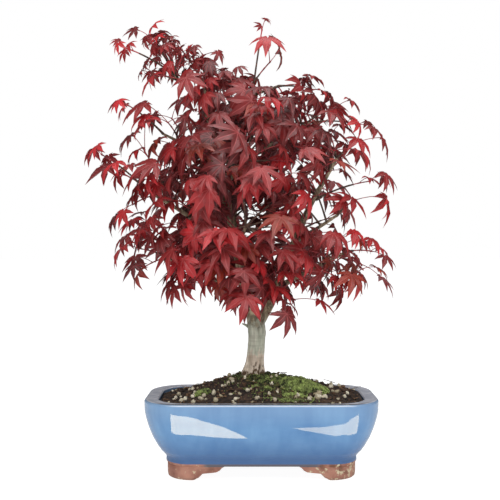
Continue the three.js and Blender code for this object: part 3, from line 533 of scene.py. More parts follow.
def potFloor(wallTop, wallBottom, sign):
    # half of the floor: rings that shrink from the wall's foot to the drain hole, go down through
    # the hole and spread again under the pot
    count = wallTop.shape[0]
    ahead = wallTop[:, 0] * sign > -1e-6
    middleUp = np.flatnonzero(np.abs(wallTop[:, 0]) < 1e-6)
    begin = middleUp[np.argmax(wallTop[middleUp, 1] * -sign)]
    order = np.roll(np.arange(count), -begin)
    order = order[ahead[order]]
    cut = np.linspace(1, -1, 15)[1:-1] * sign
    hole = np.array([sign * pot["drainOffset"], 0])

    def ring(edge, height):
        seam = np.stack([0 * cut, cut * np.abs(edge[:, 1]).max(), 0 * cut + height], -1)
        whole = np.vstack([edge[order], seam])
        whole[:, 2] = height
        return whole

    upper, lower = ring(wallTop, pot["floor"]), ring(wallBottom, pot["base"])
    towards = unit(upper[:, :2] - hole)

    def rimOf(radius, height):
        return np.column_stack([hole + towards * radius, np.full(len(towards), height)])

    radius = pot["drainRadius"]
    rows = [upper, (upper + rimOf(radius, pot["floor"])) / 2, rimOf(radius + 0.8, pot["floor"]),
            rimOf(radius, pot["floor"] - 0.8),
            rimOf(radius, pot["base"] + 0.8), rimOf(radius + 0.8, pot["base"]),
            (lower + rimOf(radius, pot["base"])) / 2, lower]
    return sheet(rows, glaze=-10.0)


def potFoot(turnX, turnY):
    # a rounded section carried round the pot's corner, from the end of the front leg to the end
    # of the side leg; its underside follows the cut-outs
    reach, width = pot["footReach"], pot["footWidth"]
    inset = np.array([0, 0, 0, 0.3, 1.2, 2.4, width / 2, width - 1.5, width - 0.3, width, width, width])
    frontAt, sideAt = np.array(pot["frontCutAt"])[:, None], np.array(pot["sideCutAt"])[::-1, None]
    half = reach - inset
    depth, radius, stretched = cornersOf(half)
    straight = depth - stretched
    corner = np.linspace(0, 1, 17)[1:-1, None] * np.arccos((sideAt[0] - straight) / stretched)
    under = np.concatenate([pot["frontCutHeight"], np.zeros(15), pot["sideCutHeight"][::-1]])
    frontShare = (frontAt - frontAt[0]) / (frontAt[-1] - frontAt[0])
    frontEnd = np.minimum(half - radius, frontAt[-1])
    front = np.stack([frontAt[0] + frontShare * (frontEnd - frontAt[0]), -depth + 0 * frontShare], -1)
    bend = np.stack([half - radius + radius * np.sin(corner), -straight - stretched * np.cos(corner)], -1)
    past = np.clip((sideAt - straight) / stretched, 0, 1)
    beside = np.stack([half - radius * (1 - np.sqrt(1 - past**2)), 0 * half - sideAt], -1)
    plan = np.concatenate([front, bend, beside])
    top = pot["footTop"]
    lift = np.array([top, 9, 3.2, 1.2, 0.35, 0, 0, 0, 0.4, 1.5, 8, top])
    height = under[:, None] + (top - under[:, None]) * (lift / top)
    rows = np.dstack([plan, height])
    first, last = rows[0].mean(axis=0), rows[-1].mean(axis=0)
    shape = sheet(rows, True, first, last, glaze=-10.0)
    shape["points"] = shape["points"] * (turnX, turnY, 1)
    if turnX * turnY > 0:
        shape["faces"] = [(face[:, ::-1], finish) for face, finish in shape["faces"]]
    return shape


wallShape, wallRows = potWall()
potShapes = [wallShape] + [potFloor(wallRows[-1], wallRows[0], sign) for sign in (1, -1)]
potShapes += [potFoot(turnX, turnY) for turnX in (1, -1) for turnY in (1, -1)]

potGlaze, tree, surface = newMaterial("potGlaze", 0.07, IOR=1.52)
heightOf, rightwards, frontwards = (objectAxis(tree, axis) for axis in "ZXY")
fromMiddle = worked(tree, "ABSOLUTE", worked(tree, "SUBTRACT", rightwards, float(potMiddle[0])))
wander = addNode(tree, "ShaderNodeTexNoise",
                 {"Vector": placeInBox(tree, potShapes), "Scale": 260.0, "Detail": 4.0}).outputs["Fac"]
# blue in patches and runs, darker where it pools low down and paler under the lip
fine = mottled(tree, shade(86, 130, 177), shade(116, 159, 200), 16, 0.3, 0.7, (1, 1, 1.8))
streaks = mottled(tree, shade(82, 125, 174), shade(111, 153, 195), 60, 0.35, 0.7, (1, 1, 0.12))
glazeColour = mixColour(tree, 0.45, fine.outputs["Colour"], streaks.outputs["Colour"])
glazeColour = mixColour(tree, ranged(tree, heightOf, 0.016, 0.056, 0.8, 0.0), glazeColour, shade(52, 86, 136))
glazeColour = mixColour(tree, ranged(tree, heightOf, 0.055, 0.082, 0, 0.3), glazeColour, shade(150, 176, 206))
# a lip painted pale and silvery for the sheen it mirrors, with painted shade along the front, brown where the
# glaze runs thin and a painted highlight on its rounded outer edge
# painted reflection: the lip's flat top is made pale silver-grey for the room's sheen
lipSheenColour = mottled(tree, shade(198, 198, 210), shade(230, 230, 238), 90)
glazeColour = mixColour(tree, ranged(tree, attribute(tree, "lip"), 0, 1, 0, 0.8), glazeColour,
                        lipSheenColour.outputs["Colour"])
# painted shade: the lip's top is made dark along the front
nearSide = ranged(tree, frontwards, float(potMiddle[1]) - 0.094, float(potMiddle[1]) - 0.085, 0.85, 0.0)
lipPaintedShade = worked(tree, "MULTIPLY", attribute(tree, "lip"), nearSide)
glazeColour = mixColour(tree, lipPaintedShade, glazeColour, shade(66, 70, 84))
thin = worked(tree, "MULTIPLY", attribute(tree, "edge"), wander)
glazeColour = mixColour(tree, ranged(tree, thin, 0.34, 0.62), glazeColour, shade(98, 74, 68))
# painted highlight: near-white on the lip's rounded outer edge, fading towards the corners
paintedArrisHighlight = worked(tree, "MULTIPLY", attribute(tree, "arris"),
                    ranged(tree, fromMiddle, 0.085, 0.108, 0.85, 0.1))
glazeColour = mixColour(tree, paintedArrisHighlight, glazeColour, shade(240, 246, 252))
# bare clay on the feet: stained, darker at the table, with cream drips of glaze, most of them at the right
clay = mottled(tree, shade(146, 96, 80), shade(178, 126, 106), 45)
stain = mottled(tree, shade(255, 255, 255), shade(150, 132, 104), 70, 0.5, 0.72)
clayColour = mixColour(tree, 0.8, clay.outputs["Colour"], stain.outputs["Colour"], "MULTIPLY")
clayColour = mixColour(tree, ranged(tree, heightOf, 0.0, 0.004, 0.5, 0.0), clayColour, shade(104, 84, 70))
dripNoise = {"Vector": objectPlace(tree), "Scale": 170.0, "Detail": 5.0, "Roughness": 0.7}
drips = addNode(tree, "ShaderNodeTexNoise", dripNoise).outputs["Fac"]
dripping = worked(tree, "ADD", drips, ranged(tree, rightwards, 0.06, 0.13, 0.0, 0.07))
clayColour = mixColour(tree, ranged(tree, dripping, 0.6, 0.66, 0, 0.85), clayColour, shade(206, 194, 160))
# painted shade under the pot's rim between the feet
between = ranged(tree, fromMiddle, 0.058, 0.066, 1, 0)
paintedUnderShade = worked(tree, "MULTIPLY", between, ranged(tree, heightOf, 0.0142, 0.0149))
clayColour = mixColour(tree, paintedUnderShade, clayColour, shade(96, 92, 100))  # painted shade on the rim under the pot between the feet
# the glaze ends raggedly above the feet
glazed = ranged(tree, worked(tree, "ADD", attribute(tree, "glaze"), wander), 0.25, 0.75)
tree.links.new(mixColour(tree, glazed, clayColour, glazeColour), surface.inputs["Base Color"])
band = ranged(tree, heightOf, 0.022, 0.03, 0.4, 0.07)
tree.links.new(addNode(tree, "ShaderNodeMix", {0: glazed, 2: 0.78, 3: band}).outputs[0],
               surface.inputs["Roughness"])
pits = addNode(tree, "ShaderNodeGroup", {"Scale": 900.0, "Depth": 0.0004, "Strength": 0.5}, node_tree=grain)
ripples = addNode(tree, "ShaderNodeGroup", {"Scale": 22.0, "Depth": 0.0006, "Strength": 0.25},
                  node_tree=grain)
skins = {0: glazed, 4: pits.outputs["Normal"], 5: ripples.outputs["Normal"]}
tree.links.new(addNode(tree, "ShaderNodeMix", skins, data_type="VECTOR").outputs[1], surface.inputs["Normal"])
makePiece("potBody", potShapes, [potGlaze], ["pot"])

# the plastic screens over the drain holes stay as they are
screenPlastic, tree, surface = newMaterial("screenPlastic", 0.45)
weave = mottled(tree, shade(24, 24, 25), shade(46, 46, 48), 400)
tree.links.new(weave.outputs["Colour"], surface.inputs["Base Color"])
grained(tree, surface, 900, 0.0003)
for side in ("left", "right"):
    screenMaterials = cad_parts["drain_screen_" + side].data.materials
    screenMaterials.clear()
    screenMaterials.append(screenPlastic)
print("drain screens coloured")

# soil and moss
moss = {
    "right": {"middle": (47, -27), "halfLength": 26, "halfWidth": 20, "thick": 4, "turn": 0.1},
    "left": {"middle": (-65, -39), "halfLength": 8.5, "halfWidth": 7, "thick": 4.5, "turn": 0.4},
    "tufts": {"right": 2200, "left": 380}, "lean": 0.75,
    # thin moss: tufts, middle and spread of each patch
    "thin": ((1100, (-10, -6), (15, 9)), (1300, (18, 0), (15, 7)), (1900, (12, -30), (17, 15)),
             (1000, (33, -62), (11, 8))),
}
soil = {
    "edge": 80.5, "peak": 28, "peakAt": (-8, 4), "reachLeft": 50, "reachRight": 70,
    "reachDepth": 45, "rough": 1.3,
    # where litter may lie: half the bed's length and width, where its corners begin and their curve
    "bedHalf": (109, 82), "bedCorner": (81, 36), "bedStretch": 1.6, "bedRadius": 28,
}


def soilHeight(x, y):
    # a bell-shaped heap round the trunk over a level bed, with two slow waves
    dx, dy = x - soil["peakAt"][0], (y - soil["peakAt"][1]) / soil["reachDepth"]
    reach = np.where(dx < 0, soil["reachLeft"], soil["reachRight"])
    heap = soil["peak"] * np.exp(-0.5 * ((dx / reach) ** 2 + dy**2))
    waves = 0.8 * np.sin(x * 0.13 + 1) * np.cos(y * 0.17) + 0.5 * np.sin(x * 0.31 + y * 0.23)
    return soil["edge"] + heap + waves


def soilSkin(x, y):  # the heap with its crumbs and clods
    flat = np.stack([x, y, 0 * x], axis=-1)
    crumbs = 0.9 * valueNoise(flat, 5, 11) + 0.6 * valueNoise(flat, 2.2, 12) + 0.9 * valueNoise(flat, 12, 13)
    outwards = np.maximum(np.abs(x) / 113, np.abs(y) / 86)
    near = np.clip(outwards * 8 - 7, 0, 1)  # it lies lower and smoother at the wall
    return soilHeight(x, y) + soil["rough"] * (crumbs - 0.4) * (1 - 0.6 * near) - 1.8 * near


def soilShape():
    # the inside of the pot as rings from below, then rings that shrink over the heap
    heights = np.array([23.3, 30, 42, 58, 75, 78.8, 80])
    halves = smoothTable(heights, pot["heights"], pot["halves"]) - 8.3
    halves[0] -= 5
    halves[-2:] = pot["lipInside"] - 0.3
    side = outline(halves, heights)
    shares = np.linspace(1, 0.02, 72)[1:, None, None]
    skin = side[-1] * np.dstack([shares, shares, 0 * shares])
    skin[..., 2] = soilSkin(skin[..., 0], skin[..., 1])
    rows = np.concatenate([side, skin])
    # green where thin moss grows, by a bell round the middle of each patch
    mossy = sum(1.2 * np.exp(-(((rows[..., :2] - middle) / (1.5 * np.array(spread))) ** 2).sum(axis=-1))
                for count, middle, spread in moss["thin"])
    mossy = np.clip(mossy * (0.75 + 0.6 * valueNoise(rows, 6, 26)), 0, 1) * (rows[..., 2] > 79)
    return sheet(rows, True, (0, 0, 23.3), (0, 0, float(soilSkin(np.zeros(1), np.zeros(1))[0])), mossy=mossy)


soilEarth, tree, surface = newMaterial("soilEarth", 0.95)
earth = mottled(tree, shade(34, 25, 20), shade(84, 62, 47), 210, 0.38, 0.68)
damp = mottled(tree, shade(150, 140, 130), shade(255, 255, 255), 35, 0.35, 0.6)
ground = mixColour(tree, 0.7, earth.outputs["Colour"], damp.outputs["Colour"], "MULTIPLY")
film = mottled(tree, shade(62, 62, 34), shade(122, 128, 66), 330, 0.35, 0.65)
ground = mixColour(tree, ranged(tree, attribute(tree, "mossy"), 0.25, 0.8, 0, 0.9), ground,
                   film.outputs["Colour"])
tree.links.new(ground, surface.inputs["Base Color"])
grained(tree, surface, 600, 0.0012, 0.9)
makePiece("soilHeap", [soilShape()], [soilEarth], ["soil"])

# grains, chips and needles on the soil
litter = {
    "pumice": {"count": 120, "size": (0.9, 2.7), "squash": 0.7},
    "chips": {"count": 420, "size": (1.2, 3.4), "squash": 0.4},
    "crumbs": {"count": 900, "size": (0.5, 1.3), "squash": 0.8},
    "needles": {"count": 46},
    "clump": (64, -50),  # a heap of larger grains right of the middle
    "large": (
        (-33, -15), (-43, -30), (-28, -70), (-6, -72), (52, -66), (-66, -62), (-84, -50), (84, -30), (79, -8),
        (-74, -70), (-50, -74), (14, -76), (92, -44), (-92, -30),
    ),
}


def soilPlaces(random, count, inner=15):
    # random points of the bed, inside its rounded outline and clear of the trunk
    x, y = (random.uniform(-half, half, 8 * count) for half in soil["bedHalf"])
    beyondX, beyondY = (np.maximum(np.abs(place) - begin, 0)
                        for place, begin in zip((x, y), soil["bedCorner"]))
    corner = np.hypot(beyondX, beyondY / soil["bedStretch"]) < soil["bedRadius"]
    clear = np.hypot(x + 8, y) > inner
    return np.stack([x, y], axis=-1)[corner & clear][:count]


def turned(random, count):  # random turns, as matrices made from unit quaternions
    a, b, c, d = unit(random.normal(size=(count, 4))).T
    return np.stack([
        1 - 2 * (c * c + d * d), 2 * (b * c - a * d), 2 * (b * d + a * c),
        2 * (b * c + a * d), 1 - 2 * (b * b + d * d), 2 * (c * d - a * b),
        2 * (b * d - a * c), 2 * (c * d + a * b), 1 - 2 * (b * b + c * c),
    ], axis=-1).reshape(count, 3, 3)


def grainsAt(random, places, low, high, squash, sink=0.25, sides=7, rings=4):
    # every grain is a ball of rings, stretched, dented point by point and turned at random
    count = len(places)
    polar = (np.arange(1, rings + 1) / (rings + 1) * math.pi)[:, None]
    angle = np.arange(sides) * 2 * math.pi / sides
    ball = np.dstack([np.sin(polar) * np.cos(angle), np.sin(polar) * np.sin(angle),
                      -np.cos(polar) + 0 * angle]).reshape(-1, 3)
    ball = np.vstack([ball, (0, 0, -1), (0, 0, 1)])
    size = random.uniform(low, high, (count, 1, 1)) * random.uniform(0.7, 1.25, (count, 1, 3))
    size[..., 2] *= squash
    points = ball * (1 + 0.2 * random.normal(size=(count, len(ball), 1))) * size
    points = np.einsum("nij,nkj->nki", turned(random, count), points)
    if squash < 0.6:  # flat chips lie down, more or less
        points[..., 2] *= 0.45
    ground = soilSkin(places[:, 0], places[:, 1])
    lift = points[..., 2].max(axis=1) * (1 - 2 * sink)
    points += np.column_stack([places, ground + lift])[:, None]
    template = sheet(ball[:-2].reshape(rings, sides, 3), True, ball[-2], ball[-1])
    start = (np.arange(count) * len(ball))[:, None, None]
    faces = [((face + start).reshape(-1, face.shape[1]), 0) for face, finish in template["faces"]]
    tone = np.repeat(random.uniform(0, 1, count), len(ball))
    return {"points": points.reshape(-1, 3), "faces": faces, "marks": {"tone": tone}}


def needlesAt(random, places):
    # thin bent stalks that lie on the soil; a few stand up out of it
    shapes = []
    for x, y in places:
        length, turn = random.uniform(6, 17), random.uniform(0, 2 * math.pi)
        t = np.linspace(-0.5, 0.5, 6)
        bow = random.uniform(-2.5, 2.5) * (1 - 4 * t * t)
        pathX = x + length * t * math.cos(turn) - bow * math.sin(turn)
        pathY = y + length * t * math.sin(turn) + bow * math.cos(turn)
        height = soilSkin(pathX, pathY).max() + 0.2 + random.uniform(0, 0.35) * length * (t + 0.5)
        path = np.column_stack([pathX, pathY, height])
        shapes.append(tube(path, np.linspace(0.45, 0.2, 6), 5, tone=np.full(6, random.uniform(0, 1))))
    return shapes


def toneMaterial(name, dark, light, roughness, scale, depth, low=0.3, high=0.7):
    # dark to light by each grain's or spike's own tone, under soft flecks
    material, tree, surface = newMaterial(name, roughness)
    own = mixColour(tree, attribute(tree, "tone"), dark, light)
    flecks = mottled(tree, shade(150, 146, 140), shade(255, 255, 255), scale, low, high)
    tree.links.new(mixColour(tree, 0.75, own, flecks.outputs["Colour"], "MULTIPLY"),
                   surface.inputs["Base Color"])
    grained(tree, surface, scale * 1.7, depth, 0.8)
    return material


random = np.random.default_rng(731)
pumiceStone = toneMaterial("pumiceStone", shade(172, 158, 126), shade(246, 238, 214), 0.9, 500, 0.0006,
                           0.25, 0.55)
barkChip = toneMaterial("barkChip", shade(52, 36, 28), shade(138, 104, 76), 0.85, 500, 0.0005)
dryNeedle = toneMaterial("dryNeedle", shade(70, 46, 32), shade(168, 128, 86), 0.8, 500, 0.0002)
clump = np.array(litter["clump"]) + random.normal(size=(10, 2)) * (3.6, 3)
spread = soilPlaces(random, litter["pumice"]["count"], 22)
large = np.array(litter["large"], float)


def scattered(kind, places, **shape):
    return grainsAt(random, places, *litter[kind]["size"], litter[kind]["squash"], **shape)


pumice = [scattered("pumice", spread), grainsAt(random, clump, 1.8, 3.4, 0.8),
          grainsAt(random, large, 2.6, 3.5, 0.75)]
makePiece("pumiceGrains", pumice, [pumiceStone])
chips = [scattered(kind, soilPlaces(random, litter[kind]["count"]), sides=sides, rings=rings)
         for kind, sides, rings in (("chips", 6, 3), ("crumbs", 5, 2))]
makePiece("barkChips", chips, [barkChip])
makePiece("dryNeedles", needlesAt(random, soilPlaces(random, litter["needles"]["count"])),
          [dryNeedle])


def cushionPoint(bed, share, angle):
    # a point of the cushion at a share of its way out: an ellipse with three waves, turned on the
    # bed, under a dome as high as the root of 1 - share^2, with lumps
    wave = 1 + 0.12 * np.sin(3 * angle + bed["middle"][0])
    u, v = share * bed["halfLength"] * wave * np.cos(angle), share * bed["halfWidth"] * wave * np.sin(angle)
    x = bed["middle"][0] + u * math.cos(bed["turn"]) - v * math.sin(bed["turn"])
    y = bed["middle"][1] + u * math.sin(bed["turn"]) + v * math.cos(bed["turn"])
    crown = bed["thick"] * np.sqrt(np.clip(1 - share**2, 0, 1))
    flat = np.stack([x, y, 0 * x], -1)
    lumps = 1.3 * valueNoise(flat, 6.5, 21) + 0.7 * valueNoise(flat, 2.6, 25)
    return np.stack(np.broadcast_arrays(x, y, soilHeight(x, y) + 0.3 + crown + lumps), -1)


def cushion(bed):
    # rings that shrink over a low dome which follows the soil, closed below
    share, angle = np.linspace(1, 0.04, 22)[:, None], (np.arange(48) * 2 * math.pi / 48)[None]
    rows = cushionPoint(bed, share, angle)
    under = rows[0] - (0, 0, 3)
    low = under.mean(axis=0)
    tone = 0.12 + 0.4 * valueNoise(rows, 7, 22) + 0.3 * valueNoise(rows, 2.6, 25)
    return sheet(np.concatenate([[under], rows]), True, low, rows[-1].mean(axis=0),
                 tone=np.vstack([tone[:1], tone]))


def tuftsAt(random, roots, length, bright):
    # each tuft is three slim four-sided spikes that lean apart
    roots = np.repeat(roots, 3, axis=0)
    count = len(roots)
    lean = unit(np.column_stack([random.normal(size=(count, 2)) * moss["lean"], np.ones(count)]))
    tall = length * random.uniform(0.6, 1.3, (count, 1))
    side = unit(np.cross(lean, random.normal(size=(count, 3))))
    over = np.cross(lean, side)
    width = 0.28 * tall
    base = [roots + width * side, roots + width * over, roots - width * side, roots - width * over]
    points = np.stack([*base, roots + lean * tall], axis=1)
    start = (np.arange(count) * 5)[:, None, None]
    sides = (np.array([[0, 1, 4], [1, 2, 4], [2, 3, 4], [3, 0, 4]]) + start).reshape(-1, 3)
    bottom = (np.array([[3, 2, 1, 0]]) + start).reshape(-1, 4)
    patches = 0.5 * valueNoise(roots, 6, 23), 0.5 * valueNoise(roots, 2.6, 25)
    tone = np.repeat(np.clip(bright + patches[0] + patches[1] + random.normal(size=count) * 0.22, 0, 1), 5)
    return {"points": points.reshape(-1, 3), "faces": [(sides, 0), (bottom, 0)], "marks": {"tone": tone}}


def mossRoots(random, bed, count):  # the root of an even draw spreads them evenly over the cushion
    share, angle = np.sqrt(random.uniform(0, 1.08, count)), random.uniform(0, 2 * math.pi, count)
    return cushionPoint(bed, share, angle) - (0, 0, 0.3)


mossGreen = toneMaterial("mossGreen", shade(42, 46, 22), shade(206, 230, 130), 0.85, 420, 0.0006)
for side in ("right", "left"):
    shapes = [cushion(moss[side]),
              tuftsAt(random, mossRoots(random, moss[side], moss["tufts"][side]), 2.3, 0.52)]
    makePiece("mossCushion" + side.title(), shapes, [mossGreen], ["moss_" + side])
# thin moss round the trunk's foot and down the front right of the heap
thinPatches = []
for count, middle, spreadOut in moss["thin"]:
    places = random.normal(size=(count, 2)) * spreadOut + middle
    patchy = valueNoise(np.column_stack([places, 0 * places[:, 0]]), 9, 24) > -0.15
    offTrunk = np.hypot(places[:, 0] + 8, places[:, 1]) > 12
    places = places[patchy & offTrunk & (np.abs(places[:, 1]) < 78)]
    roots = np.column_stack([places, soilSkin(places[:, 0], places[:, 1]) - 0.2])
    thinPatches.append(tuftsAt(random, roots, 2.0, 0.6 if middle[1] < -50 else 0.25))
makePiece("mossThin", thinPatches, [mossGreen])

# trunk, branches and twigs
trunk = {
    "points": [(-7, 1, 70), (-8, 1, 88), (-9, 1, 102), (-9, 0, 111), (-7, 0, 124), (-5.4, 0, 146),
               (-5.6, 0, 161),
               (-11.8, 0, 186), (-19, 0, 212), (-26, 1, 242), (-33, 2, 277), (-41, 2, 311), (-47, 1, 345),
               (-53, 0, 379), (-62, 1, 405), (-64, 3, 437)],
    "radii": (4, 10, 14.6, 11.8, 10.2, 9.4, 10.4, 7.4, 6.5, 5.6, 5, 4.4, 3.8, 3.1, 2.5, 1.5),
    "lobes": 5, "lobeDepth": 0.2,
}
# name, parent, where along the parent, radii at the two ends, points
branches = [
    ("right_leader", "trunk", 0.4, (6, 2),
     [(9, 3, 185), (22, 7, 216), (37, 9, 254), (53, 8, 293), (71, 5, 326), (86, 1, 353)]),
    ("low_right", "right_leader", 0.28, (3, 1.6), [(48, -8, 222), (75, -15, 236), (100, -15, 247)]),
    ("low_right_front", "right_leader", 0.14, (2.4, 1.5), [(17, -23, 194), (23, -40, 201)]),
    ("low_left", "trunk", 0.49, (4, 1.7), [(-44, 4, 209), (-77, 2, 226), (-107, -6, 240)]),
    ("low_front", "trunk", 0.52, (3, 1.6), [(-21, -27, 217), (-25, -50, 226)]),
    ("low_back", "trunk", 0.5, (3.2, 1.6), [(-8, 36, 214), (-4, 65, 228)]),
    ("mid_left", "trunk", 0.61, (3.4, 1.6), [(-63, -4, 274), (-98, -8, 297), (-130, -8, 316)]),
    ("mid_front", "trunk", 0.6, (2.8, 1.5), [(-23, -31, 259), (-17, -59, 274)]),
    ("mid_back", "trunk", 0.65, (3, 1.6), [(-31, 38, 288), (-27, 67, 303)]),
    ("mid_right", "right_leader", 0.52, (2.6, 1.5), [(65, -10, 274), (86, -17, 288)]),
    ("right_back", "right_leader", 0.45, (2.6, 1.5), [(42, 42, 265), (50, 67, 278)]),
    ("upper_front", "trunk", 0.75, (2.4, 1.4), [(-31, -31, 332), (-21, -54, 343)]),
    ("upper_left", "trunk", 0.8, (2.6, 1.4), [(-79, -4, 364), (-111, -6, 380)]),
    ("upper_right", "trunk", 0.78, (3, 1.4), [(-13, -4, 353), (25, -8, 376), (56, -8, 393)]),
    ("upper_back", "trunk", 0.8, (2.4, 1.4), [(-42, 31, 366), (-31, 54, 378)]),
    ("top_right", "trunk", 0.9, (2.2, 1.3), [(-36, 2, 412), (-6, 2, 426), (19, 0, 435)]),
    ("top_left", "trunk", 0.94, (2, 1.3), [(-82, 0, 431), (-98, -2, 447)]),
]
# name, branch, where along the branch, tip, length of a full leaf's middle lobe, leaves
shoots = [
    ("apex_left_far", "top_left", 1, (-156, -8, 478), 16, 4),
    ("apex_left", "top_left", 0.9, (-126, -22, 488), 18, 4),
    ("apex_left_low", "top_left", 0.7, (-128, 14, 452), 18, 4),
    ("apex_middle", "trunk", 1, (-94, 0, 480), 20, 4),
    ("apex_right", "trunk", 0.99, (-66, -16, 468), 21, 4),
    ("apex_back", "trunk", 0.98, (-76, 36, 458), 22, 4),
    ("apex_front", "top_left", 0.35, (-92, -36, 438), 27, 2),
    ("top_middle", "top_right", 0.5, (10, -10, 461), 31, 2),
    ("top_spire", "top_right", 0.62, (1, 6, 500), 13, 2),
    ("top_back", "top_right", 0.6, (-18, 38, 440), 27, 2),
    ("top_right_far", "top_right", 1, (58, -8, 430), 23, 3),
    ("top_right_front", "top_right", 0.85, (12, -38, 420), 31, 3),
    ("upper_left_far", "upper_left", 1, (-154, -10, 414), 22, 3),
    ("upper_left_near", "upper_left", 0.7, (-104, -38, 390), 31, 3),
    ("upper_left_back", "upper_left", 0.6, (-104, 34, 402), 29, 2),
    ("upper_right_far", "upper_right", 1, (110, -12, 390), 22, 4),
    ("upper_right_top", "upper_right", 0.85, (86, 10, 412), 23, 2),
    ("upper_right_front", "upper_right", 0.6, (44, -52, 380), 33, 3),
    ("upper_right_back", "upper_right", 0.7, (46, 40, 398), 29, 2),
    ("upper_front_left", "upper_front", 0.8, (-68, -66, 358), 33, 3),
    ("upper_front_right", "upper_front", 1, (-8, -82, 350), 34, 3),
    ("upper_back_far", "upper_back", 1, (-18, 86, 394), 30, 3),
    ("upper_back_left", "upper_back", 0.7, (-68, 64, 390), 30, 3),
    ("leader_far", "right_leader", 1, (108, -12, 370), 27, 3),
    ("leader_front", "right_leader", 0.9, (80, -48, 358), 34, 2),
    ("leader_back", "right_leader", 0.86, (92, 42, 352), 29, 2),
    ("leader_right", "right_leader", 0.72, (122, -12, 326), 26, 3),
    ("mid_left_far", "mid_left", 1, (-180, -10, 356), 25, 3),
    ("mid_left_low", "mid_left", 0.92, (-156, -26, 334), 30, 4),
    ("mid_left_top", "mid_left", 0.7, (-130, -32, 358), 31, 3),
    ("mid_left_back", "mid_left", 0.75, (-124, 36, 330), 30, 3),
    ("mid_left_front", "mid_left", 0.4, (-90, -58, 302), 34, 3),
    ("mid_front_far", "mid_front", 1, (-22, -92, 322), 34, 3),
    ("mid_front_left", "mid_front", 0.75, (-58, -82, 262), 33, 3),
    ("mid_front_right", "mid_front", 0.8, (24, -86, 272), 34, 3),
    ("mid_right_front", "mid_right", 0.7, (52, -70, 326), 34, 3),
    ("mid_right_far", "mid_right", 1, (104, -36, 304), 31, 3),
    ("mid_back_far", "mid_back", 1, (-22, 98, 326), 32, 3),
    ("mid_back_left", "mid_back", 0.7, (-72, 80, 318), 31, 2),
    ("right_back_far", "right_back", 1, (58, 92, 302), 31, 3),
    ("right_back_side", "right_back", 0.7, (90, 64, 288), 31, 3),
    ("low_left_far", "low_left", 1, (-138, -14, 250), 31, 3),
    ("low_left_front", "low_left", 0.8, (-112, -44, 258), 32, 3),
    ("low_left_back", "low_left", 0.8, (-112, 38, 252), 29, 2),
    ("low_left_near", "low_left", 0.5, (-76, -38, 212), 30, 3),
    ("low_front_far", "low_front", 1, (-42, -62, 230), 32, 3),
    ("low_right_front_far", "low_right_front", 1, (36, -57, 194), 27, 3),
    ("low_right_middle", "low_right", 0.6, (66, -50, 244), 30, 3),
    ("low_right_far", "low_right", 1, (124, -15, 247), 27, 3),
    ("low_right_low", "low_right", 0.9, (112, -40, 227), 27, 3),
    ("low_right_back", "low_right", 0.6, (92, 28, 252), 29, 2),
    ("low_back_far", "low_back", 1, (10, 88, 250), 31, 3),
    ("low_back_left", "low_back", 0.75, (-48, 72, 246), 30, 3),
]
limbs = {"trunk": (trunk["points"], (trunk["radii"][0], trunk["radii"][-1]))}
for name, parent, at, radii, points in branches:
    limbs[name] = ([smoothPath(limbs[parent][0], at), *points], radii)


def limbAt(name, t):  # the point of a limb at a share of its length in control points
    return smoothPath(limbs[name][0], t)


def trunkShape():
    # the trunk's radius follows its table, swells into root lobes near the soil, and carries
    # long low ridges and knots
    count, sides = 260, 56
    t = np.linspace(0, 1, count)
    path = smoothPath(trunk["points"], t)
    radius = np.interp(t * (len(trunk["radii"]) - 1), np.arange(len(trunk["radii"])), trunk["radii"])
    radius = np.convolve(np.pad(radius, 4, mode="edge"), np.ones(9) / 9, mode="valid")
    angle = np.arange(sides) * 2 * math.pi / sides
    height = path[:, 2]
    flare = trunk["lobeDepth"] * np.clip((122 - height) / 14, 0, 1) + 0.03
    ring = radius[:, None] * (1 + flare[:, None] * np.sin(trunk["lobes"] * angle))
    circle = np.stack([np.cos(angle) * 9, np.sin(angle) * 9, 0 * angle], -1)
    around = circle[None] + np.stack([0 * height, 0 * height, height], -1)[:, None]
    ridges = 0.35 * valueNoise(around * (1, 1, 0.22), 3.5, 31)
    ridges = ridges + 0.22 * valueNoise(around * (1, 1, 0.5), 1.6, 32)
    knotted = np.interp(height, [150, 166, 190, 215], [0, 2.2, 2.0, 0.5])[:, None]
    knots = np.clip(valueNoise(around, 9, 33) - 0.2, 0, 1) * knotted
    strength = np.clip(radius / 9, 0.3, 1.1)[:, None]
    return tube(path, ring + (ridges + knots) * strength, sides, reference=(-1, 0, 0), age=np.ones(count),
                rough=np.clip(knots, 0, 1))


def limbShape(path, radii, sides, age, seed, collar):
    # a bar that tapers evenly, swells where it leaves its parent and is a little knobbly
    count = len(path)
    along = np.concatenate([[0], np.cumsum(np.linalg.norm(np.diff(path, axis=0), axis=1))])
    radius = np.interp(along / along[-1], np.linspace(0, 1, len(radii)), radii) + collar * np.exp(-along / 5)
    angle = np.arange(sides) * 2 * math.pi / sides
    circle = np.stack([np.cos(angle), np.sin(angle), 0 * angle], -1)
    ring = circle[None] * radius[:, None, None] + path[:, None]
    knobs = 1 + 0.09 * valueNoise(ring, 4, seed) + 0.1 * (np.sin(along / 8.5 * 2 * math.pi)[:, None] > 0.93)
    return tube(path, radius[:, None] * knobs, sides, age=np.full(count, age), rough=0.0)


def archTo(start, tip, rise=0.1):
    # the control points of an arch: its middle one is lifted by a share of the reach
    start, tip = np.asarray(start, float), np.asarray(tip, float)
    reach = np.linalg.norm(tip - start)
    return start, (start + tip) / 2 + (0, 0, rise * reach), tip, reach


def archPoint(arch, t):  # start (1-t)^2 + middle 2t (1-t) + tip t^2
    t = np.asarray(t, float)[..., None]
    return arch[0] * (1 - t) ** 2 + arch[1] * 2 * t * (1 - t) + arch[2] * t**2


def archSlope(arch, t):  # the direction between two points close to t
    low, high = max(t - 0.0001, 0), min(t + 0.0001, 1)
    return unit(archPoint(arch, high) - archPoint(arch, low))


